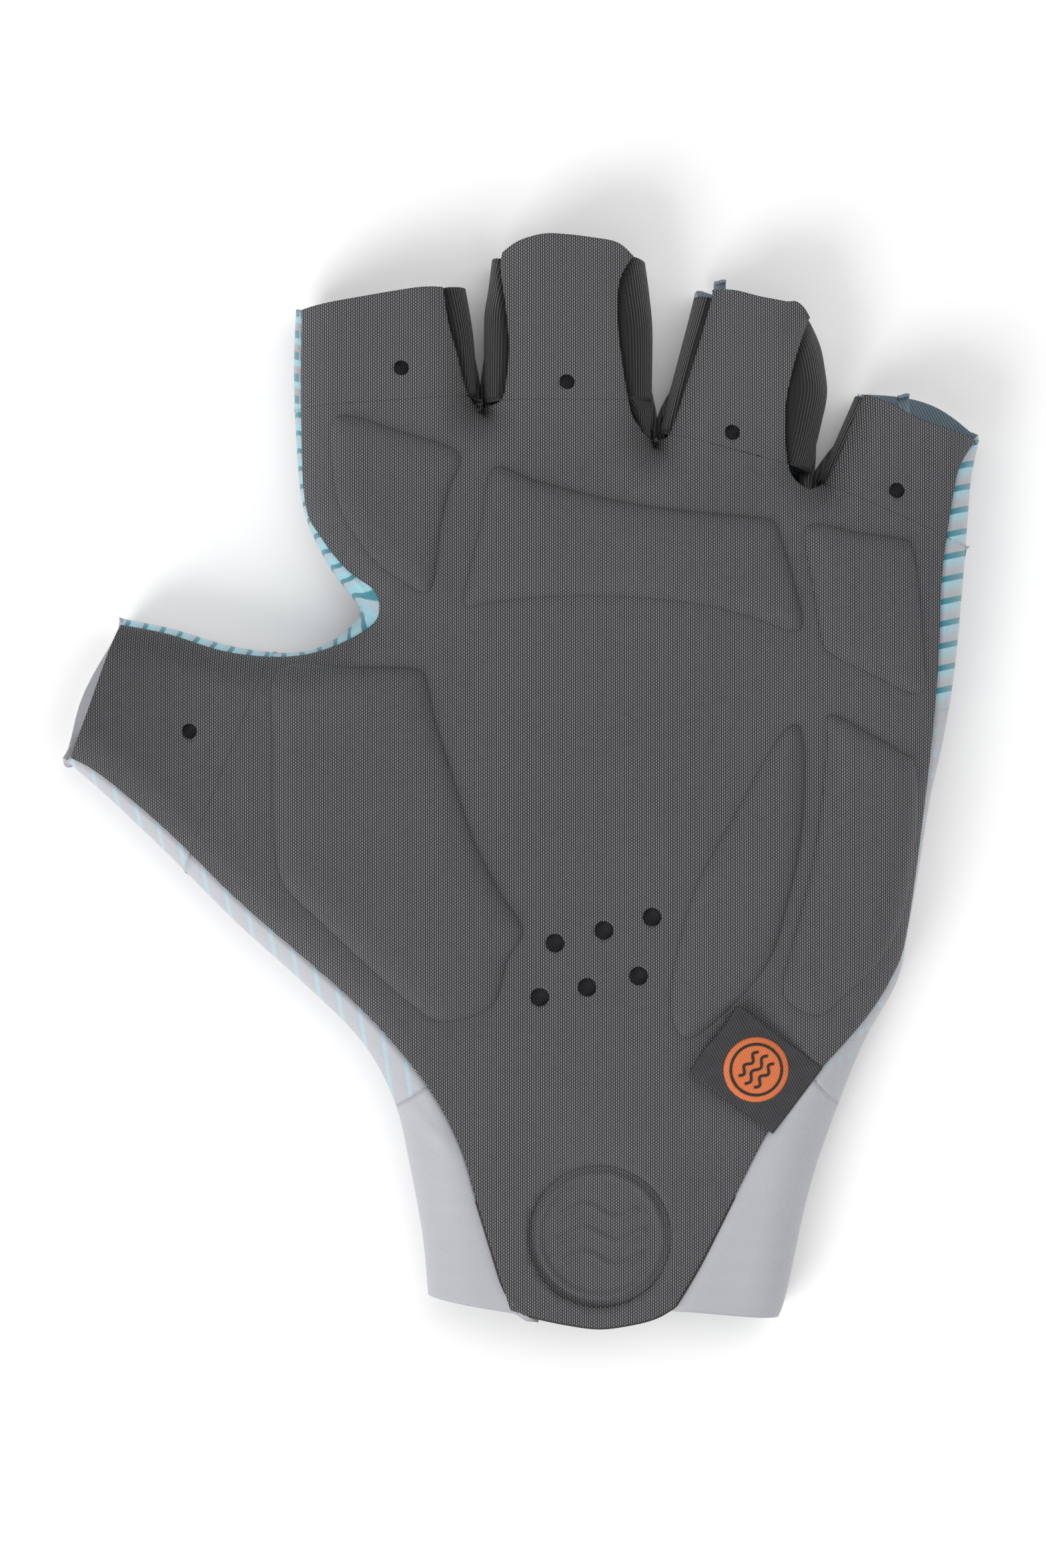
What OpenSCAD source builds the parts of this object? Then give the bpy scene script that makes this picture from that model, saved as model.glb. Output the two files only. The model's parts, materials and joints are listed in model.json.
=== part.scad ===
// Left-hand slip-on glove with open fingertips, lying on its back with the palm up.
// +Y runs to the fingers, -X to the thumb, +Z up through the palm.
// The origin is the centre of the bounding box, on the face that the glove rests on.

/* [Overall] */
// Width from the thumb mouth to the little finger mouth
glove_w = 138.2; // [110:0.1:170]
// Length from the wrist edge to the middle finger mouth
glove_l = 165.2; // [132:0.1:200]
// Height of the palm surface above the rest face
glove_h = 14; // [11:0.5:17]

/* [Fabric] */
// Thickness of every fabric layer
fabric_t = 1; // [0.8:0.05:1.2]
// Seam allowance turned in under the palm edge
seam_w = 1; // [0.8:0.1:1.4]
// Distance of the lining's edge from the palm edge
lining_inset = 2; // [1.6:0.1:3]
// Width of the bound edge at the wrist
hem_w = 0.9; // [0.7:0.05:1.3]
// How far the bound edge stands above the palm
hem_rise = 0.2; // [0.1:0.05:0.4]
// Length of the bound edge along the palm, from the wrist upwards
hem_l = 22; // [18:0.5:27]
// Distance from the wrist line to the cuff seam
cuff_l = 34; // [28:0.5:41]

/* [Fingers] */
// Gap between a finger sleeve and the hand at its crease
crease_gap = 0.3; // [0.2:0.05:0.5]
// Radius of the folded gusset in each finger crotch
crotch_r = 2; // [1.6:0.1:2.4]
// Radius of the vent hole in each sleeve
sleeve_vent_r = 1.15; // [0.9:0.05:1.4]

/* [Palm] */
// Height of the grip pads above the palm
pad_h = 1.2; // [0.8:0.1:1.6]
// Radius of the vent holes in the palm
palm_vent_r = 1.4; // [1.1:0.05:1.7]
// Radius of the pressed badge at the wrist
badge_r = 10.7; // [8.5:0.1:11.5]
// Depth of the badge below the palm surface
badge_depth = 0.4; // [0.2:0.05:0.6]
// Clearance round the badge
badge_gap = 0.1; // [0.05:0.05:0.2]

/* [Label] */
// Width of the woven label along its seam
label_w = 12.4; // [10:0.1:15]
// Length of the woven label from its seam to its free end
label_l = 15.8; // [13:0.1:19]
// Thickness of the folded label
label_t = 0.8; // [0.6:0.05:1]
// Gap between the label and the palm
label_gap = 0.3; // [0.2:0.05:0.5]
// Radius of the round emblem on the label
emblem_r = 4.9; // [4:0.1:5.9]
// Height of the emblem's embroidery
emblem_h = 0.3; // [0.2:0.05:0.4]

/* [Hidden] */

// The outlines below are drawn at this width and length, and fit() scales them.
drawn_w = 138.2;
drawn_l = 165.2;
spline_steps = 4;
reach = 60;
spread = 1;

// Share of each crease at which its sleeve's two turned-in edges meet.
thumb_split = 0.6;
index_split = 0.55;
middle_split = 0.5;
ring_split = 0.5;
little_split = 0.45;

// How far short of its wall a turned-in edge stops at the crease.
lip_back = 0.1;

// Height of the cylinders that cut holes, and reach of a crotch's turned-in edge.
cut_h = 3 * fabric_t;
crotch_lip_r = 3 * crotch_r;

// Gap round a crotch's core in the palm lining.
crotch_clear = 0.1;
back_top = fabric_t;
palm_under = glove_h - fabric_t;
lining_under = glove_h - 2 * fabric_t;
tag_w = 2;
tag_l = 2.8;
tag_t = 0.8;

// Crease of each sleeve, [start, end], with the sleeve on the left of the travel.
thumb_crease = fit([[-54.9, -22.6], [-36.6, 22.7]]);
index_crease = fit([[-37, 56.3], [-6.6, 58.4]]);
middle_crease = fit([[-6.2, 57.6], [19.8, 57.6]]);
ring_crease = fit([[20.2, 53.1], [43.6, 46.9]]);
little_crease = fit([[44.1, 45.7], [70, 34.2]]);
CREASES = [thumb_crease, index_crease, middle_crease, ring_crease, little_crease];

// Edge of the palm fabric, clockwise from the inner end of the wrist.
palm_heel = curve([[-1.9, -79], [-3.9, -72.5], [-6.9, -62.5], [-9.4, -54], [-14.4, -45],
    [-23.4, -34.5], [-33.4, -25.5], [-43.4, -16.8], [-53.4, -7], [-63.4, 1.3], [-68.1, 3.9]]);
palm_thumb_mouth = curve([[-68.1, 3.9], [-65.9, 9.1], [-62.9, 17.6], [-60.6, 24]]);
palm_web = curve([[-60.6, 24], [-53.4, 22.6], [-45.4, 20.1], [-38.4, 19.2], [-32.4, 19.6],
    [-26.4, 21.6], [-22.4, 24.1], [-21.5, 26.6], [-22.4, 29.1], [-26.4, 32.1],
    [-30.4, 37.1], [-32.9, 42.6], [-33.4, 57.6], [-33.3, 71.4]]);
palm_index_mouth = curve([[-33.3, 71.4], [-25, 72.9], [-16.1, 74.4], [-12, 74.6]]);
palm_index_middle = curve([[-12, 74.6], [-11.1, 69], [-9.9, 64.6], [-8.4, 58.8],
    [-6.6, 57.2], [-4.8, 57], [-3.3, 57.6], [-2.6, 59.8], [-2.1, 65.6], [-2.6, 71.6],
    [-3.4, 77.6], [-3.1, 80]]);
palm_middle_mouth = curve([[-3.1, 80], [-0.6, 81.5], [3.1, 82.5], [6.6, 82.4],
    [10.6, 81.9], [14.2, 81.2], [16.6, 79.4]]);
palm_middle_ring = curve([[16.6, 79.4], [14.5, 75.5], [14.2, 69.6], [14.8, 63.6],
    [15.6, 58.6], [16.5, 55], [18.4, 52.6], [20.5, 51.9], [22.1, 52.8], [24.1, 58.6],
    [26.1, 65.1], [28.2, 72.5], [28.4, 74.2]]);
palm_ring_mouth = curve([[28.4, 74.2], [31.6, 74], [35.6, 73], [39.6, 72.3],
    [41.6, 72.1], [43.3, 70.4]]);
palm_ring_little = curve([[43.3, 70.4], [42.1, 67.6], [40.6, 63], [39.4, 57.6],
    [39.2, 53.6], [39.4, 49.6], [40.1, 46.6], [41.6, 44.9], [43.1, 44.3], [44.8, 45.1],
    [46.1, 46.5], [48.6, 52], [50.1, 56], [51.4, 58.6]]);
palm_little_mouth = curve([[51.4, 58.6], [55.1, 57], [58.6, 55], [62.6, 53.5],
    [68.2, 51.7]]);
palm_outer = curve([[68.2, 51.7], [65.7, 48.1], [64.4, 43.1], [62.7, 31.1], [62.2, 17.5],
    [60.5, -2.5], [57.9, -22.5], [55.6, -28.7], [51.6, -35], [45.1, -42], [40.6, -46.5],
    [36.6, -52], [31.6, -62], [26.6, -72], [22.8, -78.4]]);
palm_wrist = curve([[22.8, -78.4], [20.1, -80], [16.6, -81], [11.6, -81.7], [6.6, -81.1],
    [1.6, -80], [-1.9, -79]]);
palm_edge = concat(palm_heel, palm_thumb_mouth, palm_web, palm_index_mouth,
    palm_index_middle, palm_middle_mouth, palm_middle_ring, palm_ring_mouth,
    palm_ring_little, palm_little_mouth, palm_outer, palm_wrist);

// Outer edge of the glove, where the back fabric turns round the side.
rim_heel = curve([[-14.4, -77.3], [-15.2, -68.5], [-17.2, -57.5], [-19.5, -48],
    [-24.4, -39], [-33.4, -30], [-43.4, -21], [-53.4, -11], [-63.4, -1.5],
    [-69.1, 3.4]]);
rim_thumb_mouth = curve([[-69.1, 3.4], [-66.4, 11.6], [-62.4, 20.1], [-60.4, 25]]);
rim_web = curve([[-60.4, 25], [-53.4, 23.6], [-45.4, 21.2], [-38.4, 20],
    [-33, 20.1], [-28.9, 21.7], [-25.6, 24.4], [-24.6, 26.1], [-25.4, 27.6],
    [-28.9, 32.2], [-32, 38], [-33.7, 44], [-34.5, 55], [-34.7, 64], [-34.4, 71.8]]);
rim_outer = curve([[69.1, 52.1], [67.9, 46.5], [67.3, 39.5], [66.6, 30.5], [65.4, 17.5],
    [63.8, 7.5], [61.6, -2.5], [60, -12.5], [58.3, -22.5], [56.6, -30], [51.6, -39],
    [46.6, -51.5], [43.1, -62.5], [40.1, -76.5], [38.8, -80.6]]);
rim_cuff = curve([[38.8, -80.6], [33.6, -80], [22.8, -78.4], [11.6, -79], [-1.9, -79],
    [-14.4, -77.3]]);

// Where the web's edge passes into the index sleeve and into the thumb sleeve.
index_low = fit([[0, 40]])[0].y;
thumb_low = fit([[-33, 0]])[0].x;

// Outer edge of each fourchette, from the crotch up to the mouth.
index_right = curve([[-6.9, 56.5], [-7.2, 63], [-7.5, 67.5], [-8, 71], [-8.7, 75]]);
middle_left = curve([[-5.9, 56], [-5.9, 63], [-5.9, 68.6], [-5.8, 71.6], [-5.3, 74.6],
    [-4.7, 79.4]]);
middle_right = curve([[19.4, 52], [19.5, 58], [19.6, 63.8], [19.6, 69.5], [19.1, 74.6],
    [18.5, 78.9]]);
ring_left = curve([[20, 50.9], [21.6, 57], [22.9, 62], [25, 70], [25.9, 73.6]]);
ring_right = curve([[42.4, 43.6], [44.1, 50], [45.2, 54.5], [46.1, 59], [45.7, 63.1],
    [45, 66.5], [43.5, 69.9]]);
little_left = curve([[43.4, 43], [46.5, 50], [48.6, 54.8], [50.3, 58.7]]);

index_left = [for (p = rim_web) if (p.y > index_low) p];
thumb_right = [for (p = reversed(rim_web)) if (p.x < thumb_low) p];
thumb_left = [for (p = rim_heel) if (p.x < thumb_low) p];

// Mouth of the back layer of each finger sleeve, left to right.
index_mouth = curve([[-34.4, 71.8], [-25, 73.4], [-16, 75.5], [-8.7, 75]]);
middle_mouth = curve([[-4.7, 79.4], [1, 80.6], [10, 80.6], [18.5, 78.9]]);
ring_mouth = curve([[25.9, 73.6], [27.1, 74.6], [35, 73], [40, 71.8], [43.5, 69.9]]);
little_mouth = curve([[50.3, 58.7], [51.6, 58.9], [56.1, 58], [61.6, 56.3],
    [65.6, 54.4], [69.1, 52.1]]);

// Grip pads.
thenar_outline = [[-36.7, 17.2], [-26, 17.4], [-16.2, 17.2], [-14.4, 15], [-13.2, 9.6],
    [-10.4, 0.6], [-7.4, -8.5], [-3.4, -16.5], [0, -22], [-2.4, -26.5], [-4.6, -33.2],
    [-11.9, -35.6], [-16.4, -33.2], [-22.4, -28], [-30.4, -20.5], [-35.9, -14.8],
    [-37.2, -7.5], [-37.4, 6]];
index_base_outline = [[-27.9, 54.9], [-18.4, 52.6], [-9.6, 49.3], [-11.2, 43.6],
    [-12.4, 37.6], [-13.9, 28.8], [-18.4, 30.6], [-22.4, 33.6], [-26.8, 40], [-28.4, 47]];
knuckle_outline = [[-4.6, 47.2], [1.6, 45.4], [11.6, 42.8], [21.6, 41.1], [31.6, 40.1],
    [37.1, 39.3], [38.8, 35.6], [40.6, 29.6], [41.4, 22.9], [33.6, 25.1], [26.6, 26.8],
    [16.6, 27.9], [6.6, 28.1], [-3.4, 27.3], [-8.7, 26.8], [-7.9, 32.6], [-6.2, 39.6]];
little_base_outline = [[42.3, 38.5], [49.6, 37.6], [56.6, 36.6], [58.2, 35], [59.1, 29.6],
    [59.8, 20], [59.4, 13.4], [51.6, 16.6], [45.8, 19.6], [44.4, 22.6], [43.1, 30.6]];
hypothenar_outer_outline = [[45.7, 10.4], [51.6, 7.6], [56.6, 4.6], [58.8, 2.4],
    [59.1, -7.5], [58.1, -15.5], [56.4, -21.5], [53.4, -26.5], [48.6, -31.2],
    [44.1, -34.7], [38.8, -31.3], [40.6, -22.5], [43.1, -12.5], [44.6, -2.5], [45.4, 6]];
hypothenar_inner_outline = [[41.4, 8.2], [42.1, 2.6], [41.6, -7.5], [39.6, -17.5],
    [36, -27.8], [26.2, -37.6], [22.7, -36.3], [22.1, -30.5], [23.6, -22.5],
    [26.1, -14.5], [31.6, -4.5], [36.6, 4.6], [39.4, 8.4]];

// Vent holes.
PALM_VENTS = fit([[4.8, -23.8], [12.1, -21.9], [19.3, -19.9],
    [2.5, -31.9], [9.6, -30.4], [17.3, -28.7]]);
thumb_vent = fit([[-49.9, 7.9]]);
index_vent = fit([[-18.2, 62.3]]);
middle_vent = fit([[6.6, 60.2]]);
ring_vent = fit([[31.3, 52.6]]);
little_vent = fit([[55.9, 43.9]]);

badge_at = fit([[11.5, -67.9]])[0];
label_seam = fit([[41.1, -47.4]])[0];
label_turn = 143;
ring_tag_at = fit([[29.6, 75.2]])[0];
little_tag_at = fit([[57, 57.9]])[0];
crotch_seats = fit([[-6.4, 57.2], [19.9, 52.6], [43.8, 45.5]]);

// Sizes and curves ---------------------------------------------------------

// A drawn outline at the chosen width and length.
function fit(points) =
    [for (p = points) [p.x * glove_w / drawn_w, p.y * glove_l / drawn_l]];

// A point on the smooth curve from b to c, with a and d as its neighbours.
function between(a, b, c, d, t) =
    0.5 * (2 * b + (c - a) * t + (2 * a - 5 * b + 4 * c - d) * t * t
        + (3 * b - a - 3 * c + d) * t * t * t);

// A smooth open curve through the points, at the chosen size.
function curve(points) =
    let (p = fit(points), last = len(p) - 1)
    concat([for (i = [0 : last - 1], k = [0 : spline_steps - 1])
        between(p[max(i - 1, 0)], p[i], p[i + 1], p[min(i + 2, last)], k / spline_steps)],
        [p[last]]);

// A smooth closed loop through the points, at the chosen size.
function loop(points) =
    let (p = fit(points), n = len(p))
    [for (i = [0 : n - 1], k = [0 : spline_steps - 1])
        between(p[(i + n - 1) % n], p[i], p[(i + 1) % n], p[(i + 2) % n],
            k / spline_steps)];

function reversed(points) = [for (i = [len(points) - 1 : -1 : 0]) points[i]];

// The curve moved by d to the right of its travel.
function moved(points, d) =
    [for (i = [0 : len(points) - 1])
        let (step = points[min(i + 1, len(points) - 1)] - points[max(i - 1, 0)])
        points[i] + d * [step.y, -step.x] / norm(step)];

// The area beyond a crease, widened by side and pushed out by shift.
function beyond(crease, shift, side) =
    let (a = (crease[1] - crease[0]) / norm(crease[1] - crease[0]), out = [-a.y, a.x])
    [crease[0] - side * a + shift * out, crease[1] + side * a + shift * out,
        crease[1] + side * a + reach * out, crease[0] - side * a + reach * out];

// Regions ------------------------------------------------------------------

// Keeps what belongs to one sleeve, from one fraction of its crease to another.
module in_sleeve(crease, from = 0, to = 1, back = 0) {
    span = crease[1] - crease[0];
    intersection() {
        children();
        polygon(beyond([crease[0] + from * span, crease[0] + to * span],
            crease_gap / 2 + back, 0));
    }
}

// Keeps what belongs to the hand, short of every crease.
module in_hand() {
    difference() {
        children();
        for (crease = CREASES) polygon(beyond(crease, -crease_gap / 2, spread));
    }
}

// The stretch cuff's share of the glove, which ends at its seam.
module cuff_area() {
    top = -glove_l / 2 + cuff_l;
    translate([-glove_w, -glove_l]) square([2 * glove_w, top + glove_l]);
}

module palm_area() polygon(palm_edge);

module rim_area() {
    polygon(concat(rim_heel, rim_thumb_mouth, rim_web, index_mouth, reversed(index_right),
        middle_left, middle_mouth, reversed(middle_right), ring_left, ring_mouth,
        reversed(ring_right), little_left, little_mouth, rim_outer, rim_cuff));
}

// What the palm fabric covers apart from its seam allowance.
module palm_inside() offset(delta = -seam_w) palm_area();

// Layers at their heights ---------------------------------------------------

module palm_layer() translate([0, 0, palm_under]) linear_extrude(fabric_t) children();
module lining_layer() translate([0, 0, lining_under]) linear_extrude(fabric_t) children();
module back_layer() linear_extrude(fabric_t) children();
module wall_layer() translate([0, 0, back_top]) linear_extrude(palm_under - back_top) children();
module pad_layer() translate([0, 0, glove_h]) linear_extrude(pad_h) children();

// A strip one fabric thick along a curve, on the side that the glove's inside is.
module strip(rim, side) polygon(concat(rim, reversed(moved(rim, side * fabric_t))));

// Round vent holes through the palm layer.
module vents(places, r) {
    for (p = places) translate([p.x, p.y, lining_under]) cylinder(h = cut_h, r = r);
}

// Sleeve pieces ---------------------------------------------------------------

module sleeve_front(crease, vent) {
    difference() {
        palm_layer() in_sleeve(crease) palm_area();
        vents(vent, sleeve_vent_r);
    }
}

module sleeve_lining(crease) {
    lining_layer() in_sleeve(crease) offset(delta = -lining_inset) palm_area();
}

module sleeve_back(crease, left, mouth, right) {
    back_layer() in_sleeve(crease) polygon(concat(left, mouth, reversed(right)));
}

// A side of a sleeve: its wall, and the edge turned in under the front at the seam.
module sleeve_side(crease, left, mouth, right, rim, side, from, to) {
    wall_layer() in_sleeve(crease) strip(rim, side);
    lining_layer() in_sleeve(crease, from, to, lip_back) difference() {
        polygon(concat(left, mouth, reversed(right)));
        palm_inside();
    }
}

// Hand ------------------------------------------------------------------------

module palm_panel() {
    color([0.36, 0.36, 0.37]) difference() {
        palm_layer() in_hand() palm_area();
        vents(PALM_VENTS, palm_vent_r);
        translate([badge_at.x, badge_at.y, lining_under])
            cylinder(h = cut_h, r = badge_r + badge_gap);
    }
}

module palm_lining() {
    color([0.12, 0.12, 0.13]) lining_layer() difference() {
        in_hand() offset(delta = -lining_inset) palm_area();
        for (seat = crotch_seats) crotch_core(seat, crotch_clear);
    }
}

module back_panel() {
    color([0.74, 0.73, 0.76]) back_layer() difference() {
        in_hand() rim_area();
        cuff_area();
    }
}

// The part of the turned-in edge that lies in a rectangle of the drawn outline.
module hand_lip(low, high) {
    corners = fit([low, high]);
    lining_layer() difference() {
        intersection() {
            in_hand() rim_area();
            translate(corners[0]) square(corners[1] - corners[0]);
        }
        palm_inside();
        cuff_area();
    }
}

module heel_side() {
    color([0.74, 0.73, 0.76]) {
        wall_layer() difference() {
            in_hand() strip(rim_heel, 1);
            cuff_area();
        }
        hand_lip([-75, -60], [-5, 0]);
    }
}

module web_gusset() {
    color([0.62, 0.68, 0.72]) {
        wall_layer() in_hand() strip(rim_web, 1);
        hand_lip([-60, 10], [-15, 62]);
    }
}

module outer_side() {
    color([0.74, 0.73, 0.76]) {
        wall_layer() difference() {
            in_hand() strip(rim_outer, 1);
            cuff_area();
        }
        hand_lip([30, -60], [75, 40]);
    }
}

module stretch_cuff() {
    color([0.75, 0.75, 0.77]) {
        back_layer() intersection() {
            rim_area();
            cuff_area();
        }
        wall_layer() intersection() {
            union() {
                strip(rim_heel, 1);
                strip(rim_outer, 1);
            }
            cuff_area();
        }
        lining_layer() difference() {
            intersection() {
                rim_area();
                cuff_area();
            }
            palm_inside();
        }
    }
}

module wrist_hem() {
    top = -glove_l / 2 + hem_l;
    low_outer = [for (p = palm_outer) if (p.y < top) p];
    low_heel = [for (p = palm_heel) if (p.y < top) p];
    path = concat(low_outer, palm_wrist, low_heel);
    color([0.2, 0.16, 0.16]) translate([0, 0, palm_under])
        linear_extrude(fabric_t + hem_rise) polygon(concat(path, reversed(moved(path, -hem_w))));
}

module wrist_badge() {
    color([0.4, 0.4, 0.42]) translate([badge_at.x, badge_at.y, palm_under])
        cylinder(h = fabric_t - badge_depth, r = badge_r);
}

module grip_pad(outline) color([0.4, 0.4, 0.41]) pad_layer() polygon(loop(outline));
module thenar_pad() grip_pad(thenar_outline);
module index_base_pad() grip_pad(index_base_outline);
module knuckle_pad() grip_pad(knuckle_outline);
module little_base_pad() grip_pad(little_base_outline);
module hypothenar_outer_pad() grip_pad(hypothenar_outer_outline);
module hypothenar_inner_pad() grip_pad(hypothenar_inner_outline);

// The folded core of a crotch's gusset, widened by more.
module crotch_core(seat, more = 0) {
    translate(seat - [0, crotch_r + crease_gap]) circle(r = crotch_r + more);
}

// The folded gusset that closes the side of two sleeves at their crotch.
module crotch(seat, rim, side) {
    color([0.16, 0.16, 0.17]) {
        wall_layer() {
            crotch_core(seat);
            in_hand() strip(rim, side);
        }
        lining_layer() difference() {
            intersection() {
                in_hand() rim_area();
                translate(seat) circle(r = crotch_lip_r);
            }
            palm_inside();
        }
    }
}

module crotch_index_middle() crotch(crotch_seats[0], index_right, -1);
module crotch_middle_ring() crotch(crotch_seats[1], middle_right, -1);
module crotch_ring_little() crotch(crotch_seats[2], little_left, 1);

// Thumb sleeve ------------------------------------------------------------------

module thumb_front() color([0.33, 0.33, 0.33]) sleeve_front(thumb_crease, thumb_vent);
module thumb_lining() color([0.12, 0.12, 0.13]) sleeve_lining(thumb_crease);
module thumb_back() {
    color([0.74, 0.73, 0.76])
        sleeve_back(thumb_crease, thumb_left, rim_thumb_mouth, thumb_right);
}
module thumb_upper_side() {
    color([0.62, 0.68, 0.72]) sleeve_side(thumb_crease, thumb_left, rim_thumb_mouth,
        thumb_right, thumb_right, -1, thumb_split, 1);
}
module thumb_lower_side() {
    color([0.74, 0.73, 0.76]) sleeve_side(thumb_crease, thumb_left, rim_thumb_mouth,
        thumb_right, thumb_left, 1, 0, thumb_split);
}

// Index sleeve --------------------------------------------------------------------

module index_front() color([0.35, 0.35, 0.35]) sleeve_front(index_crease, index_vent);
module index_lining() color([0.12, 0.12, 0.13]) sleeve_lining(index_crease);
module index_back() {
    color([0.74, 0.73, 0.76])
        sleeve_back(index_crease, index_left, index_mouth, index_right);
}
module index_side() {
    color([0.74, 0.73, 0.76])
        sleeve_side(index_crease, index_left, index_mouth, index_right, index_left, 1, 0,
            index_split);
}
module index_fourchette() {
    color([0.16, 0.16, 0.17])
        sleeve_side(index_crease, index_left, index_mouth, index_right, index_right, -1,
            index_split, 1);
}

// Middle sleeve -------------------------------------------------------------------

module middle_front() color([0.35, 0.35, 0.35]) sleeve_front(middle_crease, middle_vent);
module middle_lining() color([0.12, 0.12, 0.13]) sleeve_lining(middle_crease);
module middle_back() {
    color([0.74, 0.73, 0.76])
        sleeve_back(middle_crease, middle_left, middle_mouth, middle_right);
}
module middle_fourchette_inner() {
    color([0.16, 0.16, 0.17]) sleeve_side(middle_crease, middle_left, middle_mouth,
        middle_right, middle_left, 1, 0, middle_split);
}
module middle_fourchette_outer() {
    color([0.16, 0.16, 0.17]) sleeve_side(middle_crease, middle_left, middle_mouth,
        middle_right, middle_right, -1, middle_split, 1);
}

// Ring sleeve -----------------------------------------------------------------------

module ring_front() color([0.35, 0.35, 0.35]) sleeve_front(ring_crease, ring_vent);
module ring_lining() color([0.12, 0.12, 0.13]) sleeve_lining(ring_crease);
module ring_back() {
    color([0.74, 0.73, 0.76]) sleeve_back(ring_crease, ring_left, ring_mouth, ring_right);
}
module ring_fourchette_inner() {
    color([0.16, 0.16, 0.17])
        sleeve_side(ring_crease, ring_left, ring_mouth, ring_right, ring_left, 1, 0,
            ring_split);
}
module ring_fourchette_outer() {
    color([0.16, 0.16, 0.17])
        sleeve_side(ring_crease, ring_left, ring_mouth, ring_right, ring_right, -1,
            ring_split, 1);
}

// A folded end of seam tape that shows at a sleeve's mouth, under the turned-in edge.
module seam_tag(end) {
    color([0.41, 0.48, 0.52])
        translate([end.x - tag_w / 2, end.y - tag_l, lining_under - tag_t])
            cube([tag_w, tag_l, tag_t]);
}
module ring_seam_tag() seam_tag(ring_tag_at);

// Little sleeve -----------------------------------------------------------------------

module little_front() color([0.35, 0.35, 0.35]) sleeve_front(little_crease, little_vent);
module little_lining() color([0.12, 0.12, 0.13]) sleeve_lining(little_crease);
module little_back() {
    color([0.74, 0.73, 0.76])
        sleeve_back(little_crease, little_left, little_mouth, reversed(rim_outer));
}
module little_fourchette() {
    color([0.16, 0.16, 0.17]) sleeve_side(little_crease, little_left, little_mouth,
        reversed(rim_outer), little_left, 1, 0, little_split);
}
module little_side() {
    color([0.74, 0.73, 0.76]) sleeve_side(little_crease, little_left, little_mouth,
        reversed(rim_outer), rim_outer, 1, little_split, 1);
}
module little_seam_tag() seam_tag(little_tag_at);

// Label -----------------------------------------------------------------------------------

module on_label() {
    translate([label_seam.x, label_seam.y, glove_h + label_gap]) rotate(label_turn) children();
}

module label_tab() {
    color([0.22, 0.22, 0.23]) on_label()
        translate([0, -label_w / 2, 0]) cube([label_l, label_w, label_t]);
}

module label_emblem() {
    color([0.83, 0.46, 0.29]) on_label()
        translate([label_l / 2, 0, label_t]) cylinder(h = emblem_h, r = emblem_r);
}

palm_panel();
palm_lining();
back_panel();
heel_side();
web_gusset();
outer_side();
stretch_cuff();
wrist_hem();
wrist_badge();
thenar_pad();
index_base_pad();
knuckle_pad();
little_base_pad();
hypothenar_outer_pad();
hypothenar_inner_pad();
crotch_index_middle();
crotch_middle_ring();
crotch_ring_little();
thumb_front();
thumb_lining();
thumb_back();
thumb_upper_side();
thumb_lower_side();
index_front();
index_lining();
index_back();
index_side();
index_fourchette();
middle_front();
middle_lining();
middle_back();
middle_fourchette_inner();
middle_fourchette_outer();
ring_front();
ring_lining();
ring_back();
ring_fourchette_inner();
ring_fourchette_outer();
ring_seam_tag();
little_front();
little_lining();
little_back();
little_fourchette();
little_side();
little_seam_tag();
label_tab();
label_emblem();
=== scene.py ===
"""A left-hand slip-on sailing glove with open fingertips, lying palm up.

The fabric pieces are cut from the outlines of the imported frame's nodes and
raised to the soft form of an empty glove. Lengths are in millimetres inside
the classes and in metres in the meshes.
"""

import json
import logging
import math
from dataclasses import dataclass, field
from enum import Enum

import bmesh
import bpy
import numpy as np
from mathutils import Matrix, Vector

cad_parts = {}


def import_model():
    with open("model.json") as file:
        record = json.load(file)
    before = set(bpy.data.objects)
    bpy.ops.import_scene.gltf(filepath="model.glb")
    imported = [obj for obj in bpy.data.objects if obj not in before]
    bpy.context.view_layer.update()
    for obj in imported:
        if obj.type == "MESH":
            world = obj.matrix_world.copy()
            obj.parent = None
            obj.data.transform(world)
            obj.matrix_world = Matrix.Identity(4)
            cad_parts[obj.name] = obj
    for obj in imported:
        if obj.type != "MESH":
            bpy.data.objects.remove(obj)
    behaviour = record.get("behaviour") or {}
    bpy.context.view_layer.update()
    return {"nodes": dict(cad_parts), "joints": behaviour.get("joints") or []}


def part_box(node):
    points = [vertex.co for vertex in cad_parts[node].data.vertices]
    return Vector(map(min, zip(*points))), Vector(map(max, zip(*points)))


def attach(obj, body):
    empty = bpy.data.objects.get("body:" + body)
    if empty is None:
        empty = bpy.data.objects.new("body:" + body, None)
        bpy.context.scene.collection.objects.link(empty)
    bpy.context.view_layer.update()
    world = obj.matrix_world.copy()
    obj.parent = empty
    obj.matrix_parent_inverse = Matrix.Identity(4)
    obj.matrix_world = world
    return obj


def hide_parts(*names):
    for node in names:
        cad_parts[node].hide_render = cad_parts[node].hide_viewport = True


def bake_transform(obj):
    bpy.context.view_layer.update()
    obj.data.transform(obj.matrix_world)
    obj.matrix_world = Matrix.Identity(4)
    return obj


LOG = logging.getLogger("glove")
MM = 0.001
SLEEVES = ("thumb", "index", "middle", "ring", "little")
PALM_ROWS = (0.3,)
MOUTH_SHARE = 0.7
LEAST_SHEET = 10.0
PAST_PALM = {"thumb": 1.4, "little": 1.6}


class Face(Enum):
    """Which face of a node an outline is taken from."""

    TOP = 1
    UNDER = -1


class Skin(Enum):
    """Which side of the glove a piece of fabric lies on."""

    PALM = "palm"
    BACK = "back"


# ---------------------------------------------------------------- outlines


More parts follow.
